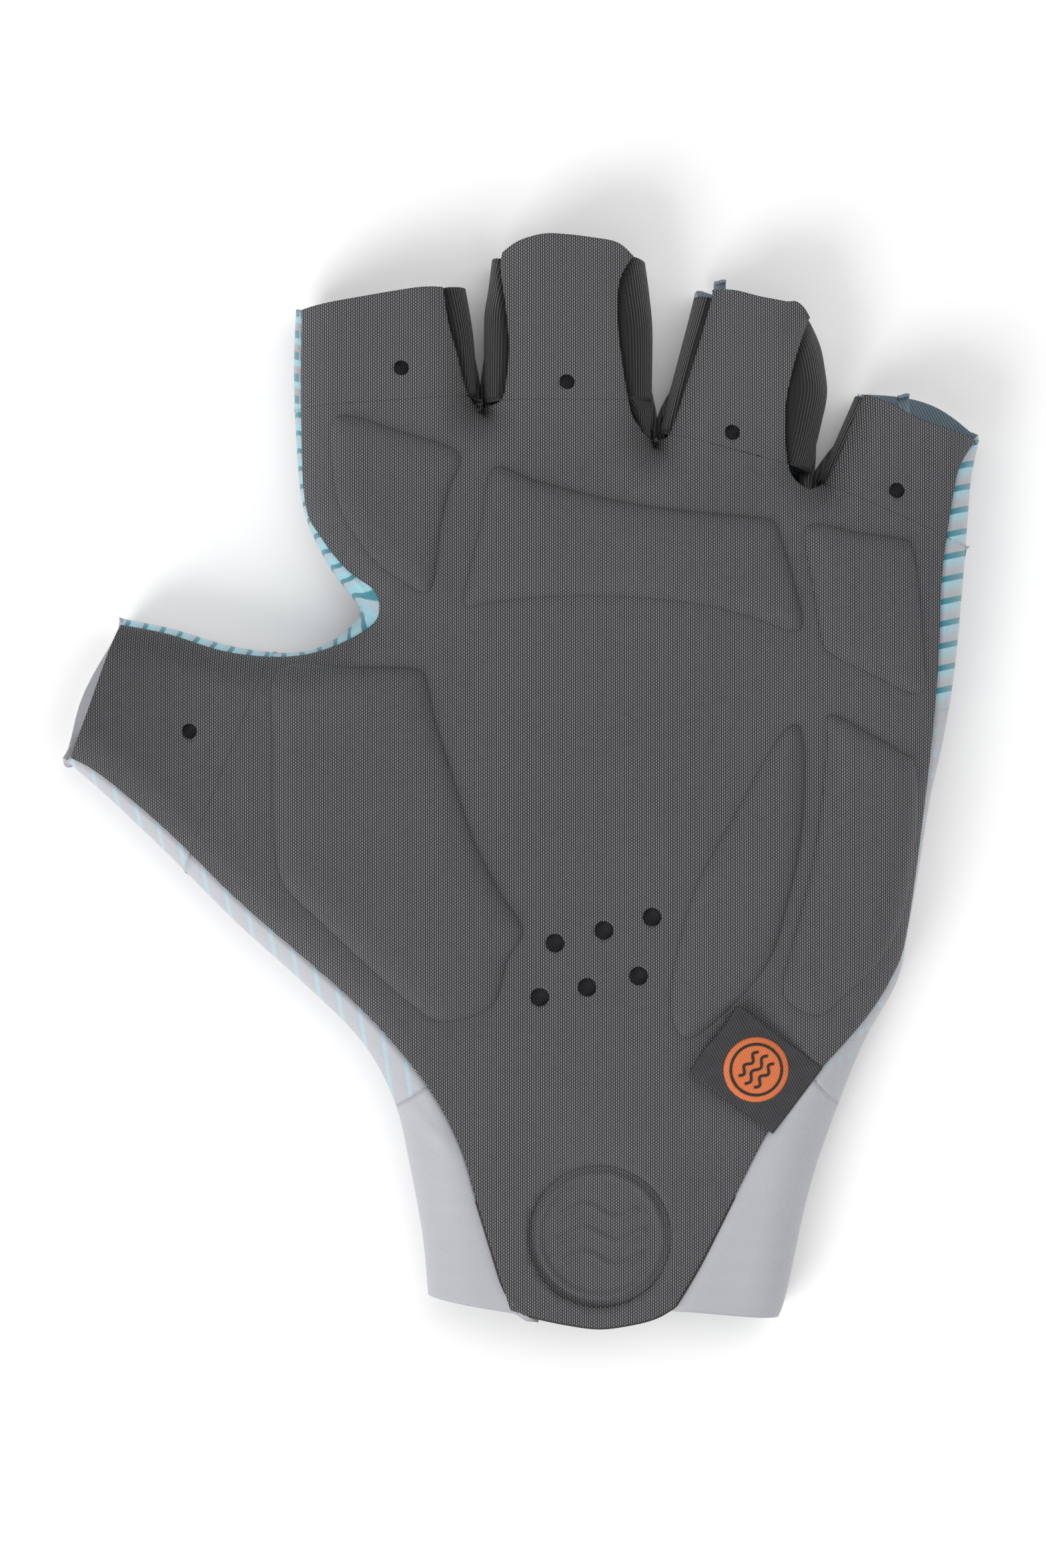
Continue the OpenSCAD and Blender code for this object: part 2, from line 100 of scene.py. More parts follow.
def node_loops(node: bpy.types.Object, face: Face) -> list[np.ndarray]:
    """Reads the edge loops of a node's highest or lowest level face.

    Args:
        node: The frame's object of one CAD node.
        face: The face to read.

    Returns:
        The loops in millimetres, longest first, each an array of x, y rows.
    """
    bm = bmesh.new()
    bm.from_mesh(node.data)
    bmesh.ops.remove_doubles(bm, verts=bm.verts[:], dist=1e-6)
    heights = [v.co.z for v in bm.verts]
    level = max(heights) if face is Face.TOP else min(heights)
    flat = {
        f for f in bm.faces
        if f.normal.z * face.value > 0.9 and abs(f.calc_center_median().z - level) < 1e-5
    }
    rim = [e for e in bm.edges if sum(f in flat for f in e.link_faces) == 1]
    loops = []
    left = set(rim)
    while left:
        edge = left.pop()
        start, here = edge.verts
        points = [start.co.xy[:], here.co.xy[:]]
        while here is not start:
            onward = [e for e in here.link_edges if e in left]
            if not onward:
                break
            edge = onward[0]
            left.discard(edge)
            here = edge.other_vert(here)
            points.append(here.co.xy[:])
        loops.append(np.array(points[:-1]) / MM)
    bm.free()
    loops.sort(key=lambda p: -np.abs(np.diff(p, axis=0)).sum())
    return [p if turn_of(p) > 0 else p[::-1] for p in loops]


def cleaned(loop: np.ndarray, least: float = 0.12) -> np.ndarray:
    """Leaves out the points of a closed loop that crowd or double back.

    Args:
        loop: The outline.
        least: The shortest side kept.

    Returns:
        The outline without sides shorter than least and without spikes.
    """
    kept = loop
    for _ in range(4):
        before, after = np.roll(kept, 1, axis=0), np.roll(kept, -1, axis=0)
        back, on = kept - before, after - kept
        near = np.linalg.norm(back, axis=1) < least
        near &= ~np.roll(near, 1)
        lengths = np.linalg.norm(back, axis=1) * np.linalg.norm(on, axis=1)
        spike = (back * on).sum(1) < -0.9 * np.maximum(lengths, 1e-9)
        gone = near | spike
        if not gone.any():
            break
        kept = kept[~gone]
    return kept


def turn_of(loop: np.ndarray) -> float:
    """Twice the signed area of a loop, positive anticlockwise."""
    x, y = loop[:, 0], loop[:, 1]
    return float((x * np.roll(y, -1) - np.roll(x, -1) * y).sum())


def segments_of(loop: np.ndarray) -> np.ndarray:
    """The sides of a closed loop as rows of x0, y0, x1, y1."""
    return np.hstack([loop, np.roll(loop, -1, axis=0)])


def distance_to(points: np.ndarray, segments: np.ndarray) -> np.ndarray:
    """Distance from each point to the nearest of the segments.

    Args:
        points: Rows of x, y.
        segments: Rows of x0, y0, x1, y1.

    Returns:
        One distance for each point.
    """
    best = np.full(len(points), np.inf)
    a, b = segments[:, :2], segments[:, 2:]
    ab = b - a
    length2 = np.maximum((ab**2).sum(1), 1e-12)
    for low in range(0, len(points), 128):
        p = points[low : low + 128, None, :]
        t = np.clip(((p - a) * ab).sum(2) / length2, 0, 1)
        gap = p - (a + t[..., None] * ab)
        best[low : low + 128] = np.sqrt((gap**2).sum(2)).min(1)
    return best


def smooth(value: np.ndarray, low: float, high: float) -> np.ndarray:
    """Rises smoothly from 0 at low to 1 at high."""
    t = np.clip((value - low) / (high - low), 0, 1)
    return t * t * (3 - 2 * t)


# -------------------------------------------------------------------- form


@dataclass(frozen=True)
class Crease:
    """The line where a sleeve folds from the hand."""

    body: str
    at: np.ndarray
    along: np.ndarray

    @property
    def out(self) -> np.ndarray:
        """The direction from the hand into the sleeve."""
        return np.array([-self.along[1], self.along[0]])

    def snapped(self, loop: np.ndarray, reach: float = 0.25) -> np.ndarray:
        """Moves the outline's points that lie at the crease onto it.

        Args:
            loop: The outline.
            reach: How near the crease a moved point lies.

        Returns:
            The outline, whose neighbour across the crease now shares the line.
        """
        off = (loop - self.at) @ self.out
        near = (np.abs(off) < reach) & (np.abs((loop - self.at) @ self.along) < 40)
        return loop - np.outer(np.where(near, off, 0), self.out)


@dataclass
class GloveForm:
    """The soft form of the empty glove, as heights above the rest face."""

    nodes: dict
    creases: list
    palm_z: float = 14.0
    rim_z: float = 4.6
    palm_roll: float = 7.0
    back_roll: float = 6.0
    wrist_drop: float = 3.2
    tip_drop: float = 1.6
    hollow: float = 0.7
    rim: np.ndarray = field(init=False)
    wall_lines: np.ndarray = field(init=False)

    def __post_init__(self) -> None:
        """Finds the glove's closed sides: the back edges that a side wall stands on."""
        self.palm_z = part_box("palm_panel")[1].z / MM
        walls = [
            n for n in self.nodes
            if n.endswith("_side") or "fourchette" in n or n.startswith("crotch")
            or n == "web_gusset"
        ]
        self.wall_lines = np.vstack(
            [segments_of(p) for n in walls for p in node_loops(self.nodes[n], Face.UNDER)]
        )
        runs = cuff_runs(node_loops(self.nodes["stretch_cuff"], Face.UNDER)[0])
        for name in [n for n in self.nodes if n.endswith("_back") or n == "back_panel"]:
            runs += side_runs(node_loops(self.nodes[name], Face.UNDER)[0], self.wall_lines)
        self.rim = np.vstack([np.hstack([r[:-1], r[1:]]) for r in runs])

    def rim_distance(self, xy: np.ndarray) -> np.ndarray:
        """Distance in plan from the glove's closed sides."""
        return distance_to(xy, self.rim)

    def waves(self, xy: np.ndarray) -> np.ndarray:
        """The slight unevenness of cloth that lies loose."""
        x, y = xy[:, 0], xy[:, 1]
        broad = np.sin(x / 11.0 + 1.2 * np.sin(y / 19.0)) * np.cos(y / 14.0 + 0.6)
        fine = np.sin(x / 4.7 + y / 6.1 + 1.5 * np.sin(y / 9.0)) * np.sin(y / 5.3 - x / 8.0)
        cuff = smooth(-y, 42, 60) * np.sin(x / 4.1 + y / 21.0)
        fold = np.exp(-(((x + 0.9 * y + 60.5) / 1.5) ** 2)) - 0.8 * np.exp(
            -(((x + 0.9 * y + 63.5) / 1.3) ** 2)
        )
        fold *= smooth(-x, 8.5, 12) * smooth(-y, 43, 46) * smooth(y, -57, -51)
        return 0.22 * broad + 0.07 * fine + 0.28 * cuff + 0.9 * fold

    def palm(self, xy: np.ndarray) -> np.ndarray:
        """Height of the palm side's outer surface at each point."""
        x, y = xy[:, 0], xy[:, 1]
        share = np.clip(self.rim_distance(xy) / self.palm_roll, 0, 1)
        roll = np.sqrt(1 - (1 - share) ** 2)
        crown = self.palm_z - self.wrist_drop * smooth(-y, 30, 85)
        crown -= self.tip_drop * (smooth(y, 50, 84) + smooth(-x, 38, 72))
        middle = np.exp(-(((x - 12) / 26) ** 2) - (((y - 4) / 30) ** 2))
        crown -= self.hollow * middle
        crown += self.waves(xy) * smooth(share, 0.1, 1.0)
        return self.rim_z + (crown - self.rim_z) * roll

    def back(self, xy: np.ndarray) -> np.ndarray:
        """Height of the back's outer surface at each point."""
        share = np.clip(self.rim_distance(xy) / self.back_roll, 0, 1)
        lift = 0.12 * (1 + np.sin(xy[:, 0] / 9.0) * np.cos(xy[:, 1] / 12.0))
        return (self.rim_z - lift) * (1 - np.sqrt(1 - (1 - share) ** 2)) + lift


# ------------------------------------------------------------------ sheets


@dataclass
class Punch:
    """A round hole cut through a sheet of fabric."""

    at: np.ndarray
    radius: float

    def through(self, bm: bmesh.types.BMesh) -> None:
        """Cuts the hole and rounds its edge.

        Args:
            bm: The flat sheet, in metres.
        """
        centre = Vector((self.at[0] * MM, self.at[1] * MM, 0))
        r = self.radius * MM
        steps = 7 if self.radius < 5 else 0
        for axis in range(2):
            for k in range(steps):
                near = [
                    f for f in bm.faces if (f.calc_center_median() - centre).length < 2.2 * r
                ]
                geom = list({v for f in near for v in f.verts})
                geom += list({e for f in near for e in f.edges}) + near
                shift = (2 * (k + 0.5) / steps - 1) * 1.3 * r
                plane = Vector((1, 0, 0)) if axis == 0 else Vector((0, 1, 0))
                bmesh.ops.bisect_plane(
                    bm, geom=geom, dist=1e-6, plane_co=centre + plane * shift, plane_no=plane
                )
        gone = [f for f in bm.faces if (f.calc_center_median() - centre).length < r]
        bmesh.ops.delete(bm, geom=gone, context="FACES")
        reach = r + min(0.4 * r, 1.3 * MM)
        edge = {
            v for e in bm.edges if e.is_boundary for v in e.verts
            if (v.co - centre).length < reach
        }
        for v in edge:
            v.co = centre + (v.co - centre).normalized() * r


@dataclass
class SheetCutter:
    """Cuts flat outlines into evenly meshed sheets and raises them to the glove's form."""

    form: GloveForm
    spacing: float = 1.0
    edge_rows: tuple = (0.12, 0.22, 0.34, 0.5)

    def flat(self, loop: np.ndarray, spacing: float, edge_rows: tuple) -> bmesh.types.BMesh:
        """Makes one flat sheet inside an outline.

        Args:
            loop: The outline in millimetres, anticlockwise.
            spacing: The width of the mesh's squares.
            edge_rows: Widths of the extra rows along the outline.

        Returns:
            The sheet, in metres, at height 0.
        """
        bm = bmesh.new()
        corners = [bm.verts.new((p[0] * MM, p[1] * MM, 0)) for p in loop]
        bm.faces.new(corners)
        bm.normal_update()
        middle = bm.faces[:]
        for width in edge_rows:
            bmesh.ops.inset_region(
                bm, faces=middle, thickness=width * MM, use_even_offset=False,
                use_boundary=True,
            )
        step = spacing * MM
        for axis in range(2):
            low = min(v.co[axis] for v in bm.verts)
            high = max(v.co[axis] for v in bm.verts)
            plane = Vector((1, 0, 0)) if axis == 0 else Vector((0, 1, 0))
            for k in range(math.ceil(low / step), math.floor(high / step) + 1):
                bmesh.ops.bisect_plane(
                    bm, geom=bm.verts[:] + bm.edges[:] + bm.faces[:], dist=1e-7,
                    plane_co=plane * (k * step), plane_no=plane,
                )
        return bm

    def raised(
        self,
        name: str,
        loops: list,
        height,
        skin: Skin = Skin.PALM,
        punches: tuple = (),
        spacing: float | None = None,
        edge_rows: tuple | None = None,
    ) -> bpy.types.Object:
        """Makes a fabric piece from its outlines and heights.

        Args:
            name: The piece's name.
            loops: Its outlines in millimetres.
            height: A function from x, y rows to heights in millimetres.
            skin: The side it lies on, which its thickness grows away from.
            punches: Holes through it.
            spacing: The width of the mesh's squares, if it isn't the usual one.
            edge_rows: Widths of the extra rows along the outline, likewise.

        Returns:
            The piece.
        """
        rows = self.edge_rows if edge_rows is None else edge_rows
        whole = bmesh.new()
        for loop in loops:
            bm = self.flat(loop, spacing or self.spacing, rows)
            for hole in punches:
                hole.through(bm)
            bmesh.ops.remove_doubles(bm, verts=bm.verts[:], dist=0.06 * MM)
            flat_mesh = bpy.data.meshes.new("flat")
            bm.to_mesh(flat_mesh)
            bm.free()
            whole.from_mesh(flat_mesh)
            bpy.data.meshes.remove(flat_mesh)
        big = [f for f in whole.faces if len(f.verts) > 4]
        bmesh.ops.triangulate(whole, faces=big)
        xy = np.array([v.co.xy[:] for v in whole.verts]) / MM
        for v, z in zip(whole.verts, height(xy)):
            v.co.z = z * MM
        whole.normal_update()
        if skin is Skin.BACK:
            bmesh.ops.reverse_faces(whole, faces=whole.faces[:])
        for f in whole.faces:
            f.smooth = True
        return self.finished(name, whole)

    def finished(self, name: str, bm: bmesh.types.BMesh) -> bpy.types.Object:
        """Turns a made bmesh into a piece, with its sharp edges marked."""
        for e in bm.edges:
            if len(e.link_faces) == 2 and e.calc_face_angle(0) > 0.9:
                e.smooth = False
        mesh = bpy.data.meshes.new(name)
        bm.to_mesh(mesh)
        bm.free()
        piece = bpy.data.objects.new(name, mesh)
        bpy.context.scene.collection.objects.link(piece)
        return piece


# ------------------------------------------------------------------ strips


def resampled(path: np.ndarray, step: float) -> np.ndarray:
    """A polyline's points at even spacing, both ends kept."""
    run = np.concatenate([[0], np.cumsum(np.linalg.norm(np.diff(path, axis=0), axis=1))])
    count = max(int(round(run[-1] / step)), 4) + 1
    at = np.linspace(0, run[-1], count)
    return np.column_stack([np.interp(at, run, path[:, k]) for k in range(path.shape[1])])


def eased(values: np.ndarray, reach: int) -> np.ndarray:
    """A moving average along rows, with the ends repeated."""
    wide = np.pad(values, ((reach, reach), (0, 0)), mode="edge")
    kernel = np.hanning(2 * reach + 3)[1:-1]
    kernel /= kernel.sum()
    return np.column_stack(
        [np.convolve(wide[:, k], kernel, mode="valid") for k in range(values.shape[1])]
    )


def nearest_on(points: np.ndarray, segments: np.ndarray) -> np.ndarray:
    """The nearest place on the segments to each point."""
    a, b = segments[:, :2], segments[:, 2:]
    ab = b - a
    t = ((points[:, None, :] - a) * ab).sum(2) / np.maximum((ab**2).sum(1), 1e-12)
    spots = a + np.clip(t, 0, 1)[..., None] * ab
    best = np.linalg.norm(spots - points[:, None, :], axis=2).argmin(1)
    return spots[np.arange(len(points)), best]


def side_runs(loop: np.ndarray, wall_lines: np.ndarray) -> list[np.ndarray]:
    """Splits a back's outline into the runs that a side stands on.

    Args:
        loop: The back's outline, anticlockwise.
        wall_lines: The segments of every wall's outline.

    Returns:
        The runs as polylines, leaving out mouths, creases and the wrist.
    """
    rows = segments_of(loop)
    lengths = np.linalg.norm(rows[:, 2:] - rows[:, :2], axis=1)
    inner = [rows[:, :2] + (rows[:, 2:] - rows[:, :2]) * share for share in (0.3, 0.7)]
    on = (distance_to(inner[0], wall_lines) < 0.05) & (distance_to(inner[1], wall_lines) < 0.05)
    start = int(np.argmax(lengths))
    order = (np.arange(len(rows)) + start) % len(rows)
    on, rows, lengths = on[order], rows[order], lengths[order]
    groups: list[list[int]] = []
    kind = np.where(on, 0, np.where(lengths > 5, 1, 2))
    for k, value in enumerate(kind):
        if not groups or value != kind[groups[-1][-1]]:
            groups.append([])
        groups[-1].append(k)
    for group in groups:
        if kind[group[0]] == 2 and lengths[group].sum() < 4:
            on[group] = True
    runs: list[np.ndarray] = []
    current: list[np.ndarray] = []
    for k, flag in enumerate(on):
        if flag:
            current.append(rows[k])
        if current and (not flag or k == len(on) - 1):
            runs.append(np.vstack([[r[:2] for r in current], current[-1][2:]]))
            current = []
    return [r for r in runs if np.linalg.norm(np.diff(r, axis=0), axis=1).sum() > 0.7]


@dataclass
class StripMaker:
    """Makes the sides: bands that turn from the palm fabric's edge down to the back."""

    form: GloveForm
    creases: list
    palm_edges: dict
    step: float = 0.8
    rows: int = 16
    dip: float = 0.95

    def side(
        self, name: str, run: np.ndarray, body: str, corners=None, tuck: float = 1.3
    ) -> bpy.types.Object:
        """Makes the side over one run of the rim.

        Args:
            name: The piece's name.
            run: The run, with the glove's inside on its left.
            body: The body whose palm fabric it is sewn to.
            corners: Where its two ends meet the palm fabric, or None for the nearest places.
            tuck: How far it goes on under the palm fabric.

        Returns:
            The piece, with along_mm and across_mm as attributes.
        """
        path = resampled(run, self.step)
        edges = self.palm_edges[body]
        inner = nearest_on(path, edges)
        if corners is not None:
            run_on = np.linspace(0, 1, len(path))
            for end, corner in zip((0, -1), corners):
                if corner is not None:
                    pull = smooth(np.abs(run_on - run_on[end]), 0.95, 0.0)
                    inner = inner + pull[:, None] * (corner - inner[end])
            inner = nearest_on(inner, edges)
        span = inner - path
        soft = eased(span, 3)
        soft[[0, -1]] = span[[0, -1]]
        for end in (0, -1):
            for crease in self.creases:
                off = (path[end] - crease.at) @ crease.out
                if abs(off) < 0.3 and np.linalg.norm(path[end] - crease.at) < 30:
                    path[end] = path[end] - off * crease.out
                    sign = np.sign(span[end] @ crease.along) or 1.0
                    soft[end] = crease.along * sign * np.linalg.norm(span[end])
        width = np.linalg.norm(soft, axis=1)
        way = soft / np.maximum(width, 1e-6)[:, None]
        share = (np.linspace(0, 1, self.rows) ** 1.7)[:, None]
        s = share * (width + tuck)[None, :]
        flat = path[None] + s[..., None] * way[None]
        z = self.form.palm(flat.reshape(-1, 2)).reshape(s.shape)
        z -= self.dip * smooth(s - width[None], -0.9, 0.35)
        under = path + way * 0.55
        low = self.form.back(under) + 0.85
        xyz = np.dstack([flat, z])
        xyz = np.concatenate([np.dstack([under[None], low[None, :, None]]), xyz])
        along = np.concatenate(
            [[0], np.cumsum(np.linalg.norm(np.diff(path, axis=0), axis=1))]
        )
        across = np.concatenate(
            [np.zeros((1, len(path))), np.cumsum(np.linalg.norm(np.diff(xyz, axis=0), axis=2), axis=0)]
        )
        across -= across[1]
        return grid_piece(name, xyz, {"along_mm": np.broadcast_to(along, across.shape),
                                      "across_mm": across})


def grid_piece(name: str, xyz: np.ndarray, extra: dict, closed: bool = False) -> bpy.types.Object:
    """Makes a piece from a grid mapped to the given places.

    Args:
        name: The piece's name.
        xyz: Places in millimetres, as rows by columns by 3.
        extra: Attribute names and their values, as rows by columns.
        closed: Whether the last row joins the first, as round a cord.

    Returns:
        The piece.
    """
    rows, columns = xyz.shape[:2]
    bm = bmesh.new()
    bmesh.ops.create_grid(bm, x_segments=columns - 1, y_segments=rows - 1, size=1)
    bm.verts.ensure_lookup_table()
    layers = {key: bm.verts.layers.float.new(key) for key in extra}
    for v in bm.verts:
        column = int(round((v.co.x + 1) / 2 * (columns - 1)))
        row = int(round((v.co.y + 1) / 2 * (rows - 1)))
        v.co = Vector(xyz[row, column]) * MM
        for key, layer in layers.items():
            v[layer] = float(extra[key][row, column])
    if closed:
        bmesh.ops.remove_doubles(bm, verts=bm.verts[:], dist=1e-7)
        ends = [e for e in bm.edges if e.is_boundary]
        bmesh.ops.holes_fill(bm, edges=ends)
        bmesh.ops.recalc_face_normals(bm, faces=bm.faces[:])
    bm.normal_update()
    if not closed and sum(f.normal.z * f.calc_area() for f in bm.faces) < 0:
        bmesh.ops.reverse_faces(bm, faces=bm.faces[:])
    for f in bm.faces:
        f.smooth = True
    mesh = bpy.data.meshes.new(name)
    bm.to_mesh(mesh)
    bm.free()
    piece = bpy.data.objects.new(name, mesh)
    bpy.context.scene.collection.objects.link(piece)
    return piece


def cord_along(name: str, path: np.ndarray, wide: float, high: float) -> bpy.types.Object:
    """Makes a round or flattened cord along a path.

    Args:
        name: The piece's name.
        path: Rows of x, y, z in millimetres.
        wide: Its width across the path in plan.
        high: Its height.

    Returns:
        The piece, with along_mm and across_mm as attributes.
    """
    steps = np.gradient(path, axis=0)
    steps /= np.linalg.norm(steps, axis=1)[:, None]
    aside = np.column_stack([-steps[:, 1], steps[:, 0], np.zeros(len(path))])
    aside /= np.linalg.norm(aside, axis=1)[:, None]
    above = np.cross(steps, aside)
    turn = np.linspace(0, 2 * math.pi, 11)
    ring = (
        np.cos(turn)[:, None, None] * aside[None] * wide / 2
        + np.sin(turn)[:, None, None] * above[None] * high / 2
    )
    along = np.concatenate([[0], np.cumsum(np.linalg.norm(np.diff(path, axis=0), axis=1))])
    extra = {
        "along_mm": np.broadcast_to(along, ring.shape[:2]),
        "across_mm": np.broadcast_to((turn * wide / 2)[:, None], ring.shape[:2]),
    }
    return grid_piece(name, path[None] + ring, extra, closed=True)


# --------------------------------------------------------------- materials


class Sock:
    """A shader value that can be added, multiplied and compared like a number."""

    def __init__(self, shade: "Shade", socket) -> None:
        self.shade = shade
        self.socket = socket

    def __add__(self, other):
        return self.shade.math("ADD", self, other)

    def __radd__(self, other):
        return self.shade.math("ADD", other, self)

    def __sub__(self, other):
        return self.shade.math("SUBTRACT", self, other)

    def __rsub__(self, other):
        return self.shade.math("SUBTRACT", other, self)

    def __mul__(self, other):
        return self.shade.math("MULTIPLY", self, other)

    def __rmul__(self, other):
        return self.shade.math("MULTIPLY", other, self)

    def __truediv__(self, other):
        return self.shade.math("DIVIDE", self, other)

    def __rtruediv__(self, other):
        return self.shade.math("DIVIDE", other, self)

    def sin(self):
        """The sine of the value."""
        return self.shade.math("SINE", self, 0)

    def part(self):
        """What is left of the value above the whole number below it."""
        return self.shade.math("FRACT", self, 0)

    def whole(self):
        """The whole number below the value."""
        return self.shade.math("FLOOR", self, 0)

    def size(self):
        """The value without its sign."""
        return self.shade.math("ABSOLUTE", self, 0)

    def ramp(self, low: float, high: float, start: float = 0.0, end: float = 1.0):
        """Rises smoothly from start at low to end at high."""
        node = self.shade.node("ShaderNodeMapRange", interpolation_type="SMOOTHSTEP")
        for index, value in enumerate((self, low, high, start, end)):
            self.shade.feed(node.inputs[index], value)
        return Sock(self.shade, node.outputs[0])


class Shade:
    """Builds one procedural material on object coordinates and the pieces' attributes."""

    def __init__(self, name: str) -> None:
        self.material = bpy.data.materials.new(name)
        self.material.use_nodes = True
        self.tree = self.material.node_tree
        self.bsdf = next(n for n in self.tree.nodes if n.type == "BSDF_PRINCIPLED")
        place = self.node("ShaderNodeTexCoord")
        scaled = self.node("ShaderNodeVectorMath", operation="SCALE")
        self.tree.links.new(place.outputs["Object"], scaled.inputs[0])
        scaled.inputs["Scale"].default_value = 1 / MM
        self.place = Sock(self, scaled.outputs[0])
        split = self.node("ShaderNodeSeparateXYZ")
        self.tree.links.new(scaled.outputs[0], split.inputs[0])
        self.x, self.y, self.z = (Sock(self, split.outputs[k]) for k in range(3))

    def node(self, kind: str, **settings):
        """Adds a node with the given settings."""
        made = self.tree.nodes.new(kind)
        for key, value in settings.items():
            setattr(made, key, value)
        return made

    def feed(self, socket, value) -> None:
        """Links a value to a socket, or sets it there when it is constant."""
        if isinstance(value, Sock):
            self.tree.links.new(value.socket, socket)
        else:
            socket.default_value = value

    def math(self, operation: str, a, b) -> Sock:
        """One Math node."""
        made = self.node("ShaderNodeMath", operation=operation)
        self.feed(made.inputs[0], a)
        self.feed(made.inputs[1], b)
        return Sock(self, made.outputs[0])

    def attribute(self, name: str) -> Sock:
        """A piece's own attribute."""
        made = self.node("ShaderNodeAttribute", attribute_name=name)
        return Sock(self, made.outputs["Fac"])

    def noise(self, scale: float, detail: float = 3.0) -> Sock:
        """Noise with features of about 1 / scale millimetres."""
        made = self.node("ShaderNodeTexNoise")
        self.feed(made.inputs["Vector"], self.place)
        made.inputs["Scale"].default_value = scale
        made.inputs["Detail"].default_value = detail
        return Sock(self, made.outputs[0])

    def mix(self, factor, a, b) -> Sock:
        """A colour between two colours."""
        made = self.node("ShaderNodeMix", data_type="RGBA")
        self.feed(made.inputs[0], factor)
        for socket, value in ((made.inputs[6], a), (made.inputs[7], b)):
            self.feed(socket, value)
        return Sock(self, made.outputs[2])

    def finish(self, colour, roughness, height=None, depth: float = 0.05, sheen: float = 0.0):
        """Sets the surface.

        Args:
            colour: A linear colour or a socket.
            roughness: A number or a socket.
            height: What the bump is raised by, or None.
            depth: The bump's height in millimetres.
            sheen: How much soft light the fibres scatter at the edges.

        Returns:
            The material.
        """
        self.feed(self.bsdf.inputs["Base Color"], colour)
        self.feed(self.bsdf.inputs["Roughness"], roughness)
        self.bsdf.inputs["Specular IOR Level"].default_value = 0.35
        if sheen:
            self.bsdf.inputs["Sheen Weight"].default_value = sheen
            self.bsdf.inputs["Sheen Roughness"].default_value = 0.5
        if height is not None:
            bump = self.node("ShaderNodeBump")
            bump.inputs["Strength"].default_value = 1.0
            bump.inputs["Distance"].default_value = depth * MM
            self.feed(bump.inputs["Height"], height)
            self.tree.links.new(bump.outputs[0], self.bsdf.inputs["Normal"])
        return self.material


def srgb(red: int, green: int, blue: int) -> tuple:
    """A colour given as 0 to 255 in sRGB, as a linear colour with alpha."""
    lin = [c / 255 / 12.92 if c / 255 <= 0.04045 else ((c / 255 + 0.055) / 1.055) ** 2.4
           for c in (red, green, blue)]
    return (*lin, 1.0)


@dataclass(frozen=True)
class Finishes:
    """The glove's materials."""

    palm_mesh: bpy.types.Material
    mesh_inside: bpy.types.Material
    lining: bpy.types.Material
    satin: bpy.types.Material
    outer_satin: bpy.types.Material
    index_satin: bpy.types.Material
    web_satin: bpy.types.Material
    thumb_satin: bpy.types.Material
    satin_inside: bpy.types.Material
    rib: bpy.types.Material
    hem: bpy.types.Material
    badge: bpy.types.Material
    label: bpy.types.Material
    thread: bpy.types.Material
    emblem: bpy.types.Material
    tape: bpy.types.Material


class Print(Enum):
    """The printed stripes on the satin sides."""

    NONE = "none"
    OUTER = "outer"
    INDEX = "index"
    WEB = "web"
    THUMB = "thumb"


TEAL = srgb(58, 132, 148)
CYAN = srgb(150, 203, 216)
LILAC = srgb(174, 175, 181)


def warp_mesh(name: str, light: tuple, dark: tuple) -> bpy.types.Material:
    """Warp-knit mesh: zigzag columns of pale dashes on a near-black ground, with painted shade towards
    the thumb and painted light at the finger fronts.
    """
    s = Shade(name)
    column = 0.33
    course = 0.46
    wave = ((s.y / course).part() - 0.5).size() * 0.42
    across = s.x / column + wave
    shift = (across.whole() * 0.5).part()
    rib = ((across.part() - 0.5).size()).ramp(0.34, 0.12)
    dash = (((s.y / course + shift).part() - 0.5).size()).ramp(0.4, 0.18)
    yarn = rib * (dash * 0.8 + 0.2)
    tone = yarn * (s.noise(0.9) * 0.5 + 0.75)
    patchy = s.noise(0.05, 2.0) * 0.3 + 0.85
    # painted shade and light: darkened to 0.72 past x = -38 mm towards the thumb and brightened to
    # 1.25 past y = 44 mm at the finger fronts; the real fabric is one even tone
    reach = s.x.ramp(-38, -60, 1.0, 0.72) * s.y.ramp(44, 62, 1.0, 1.25)
    return s.finish(s.mix(tone * patchy * reach, dark, light), 0.75, yarn, 0.1, 0.03)


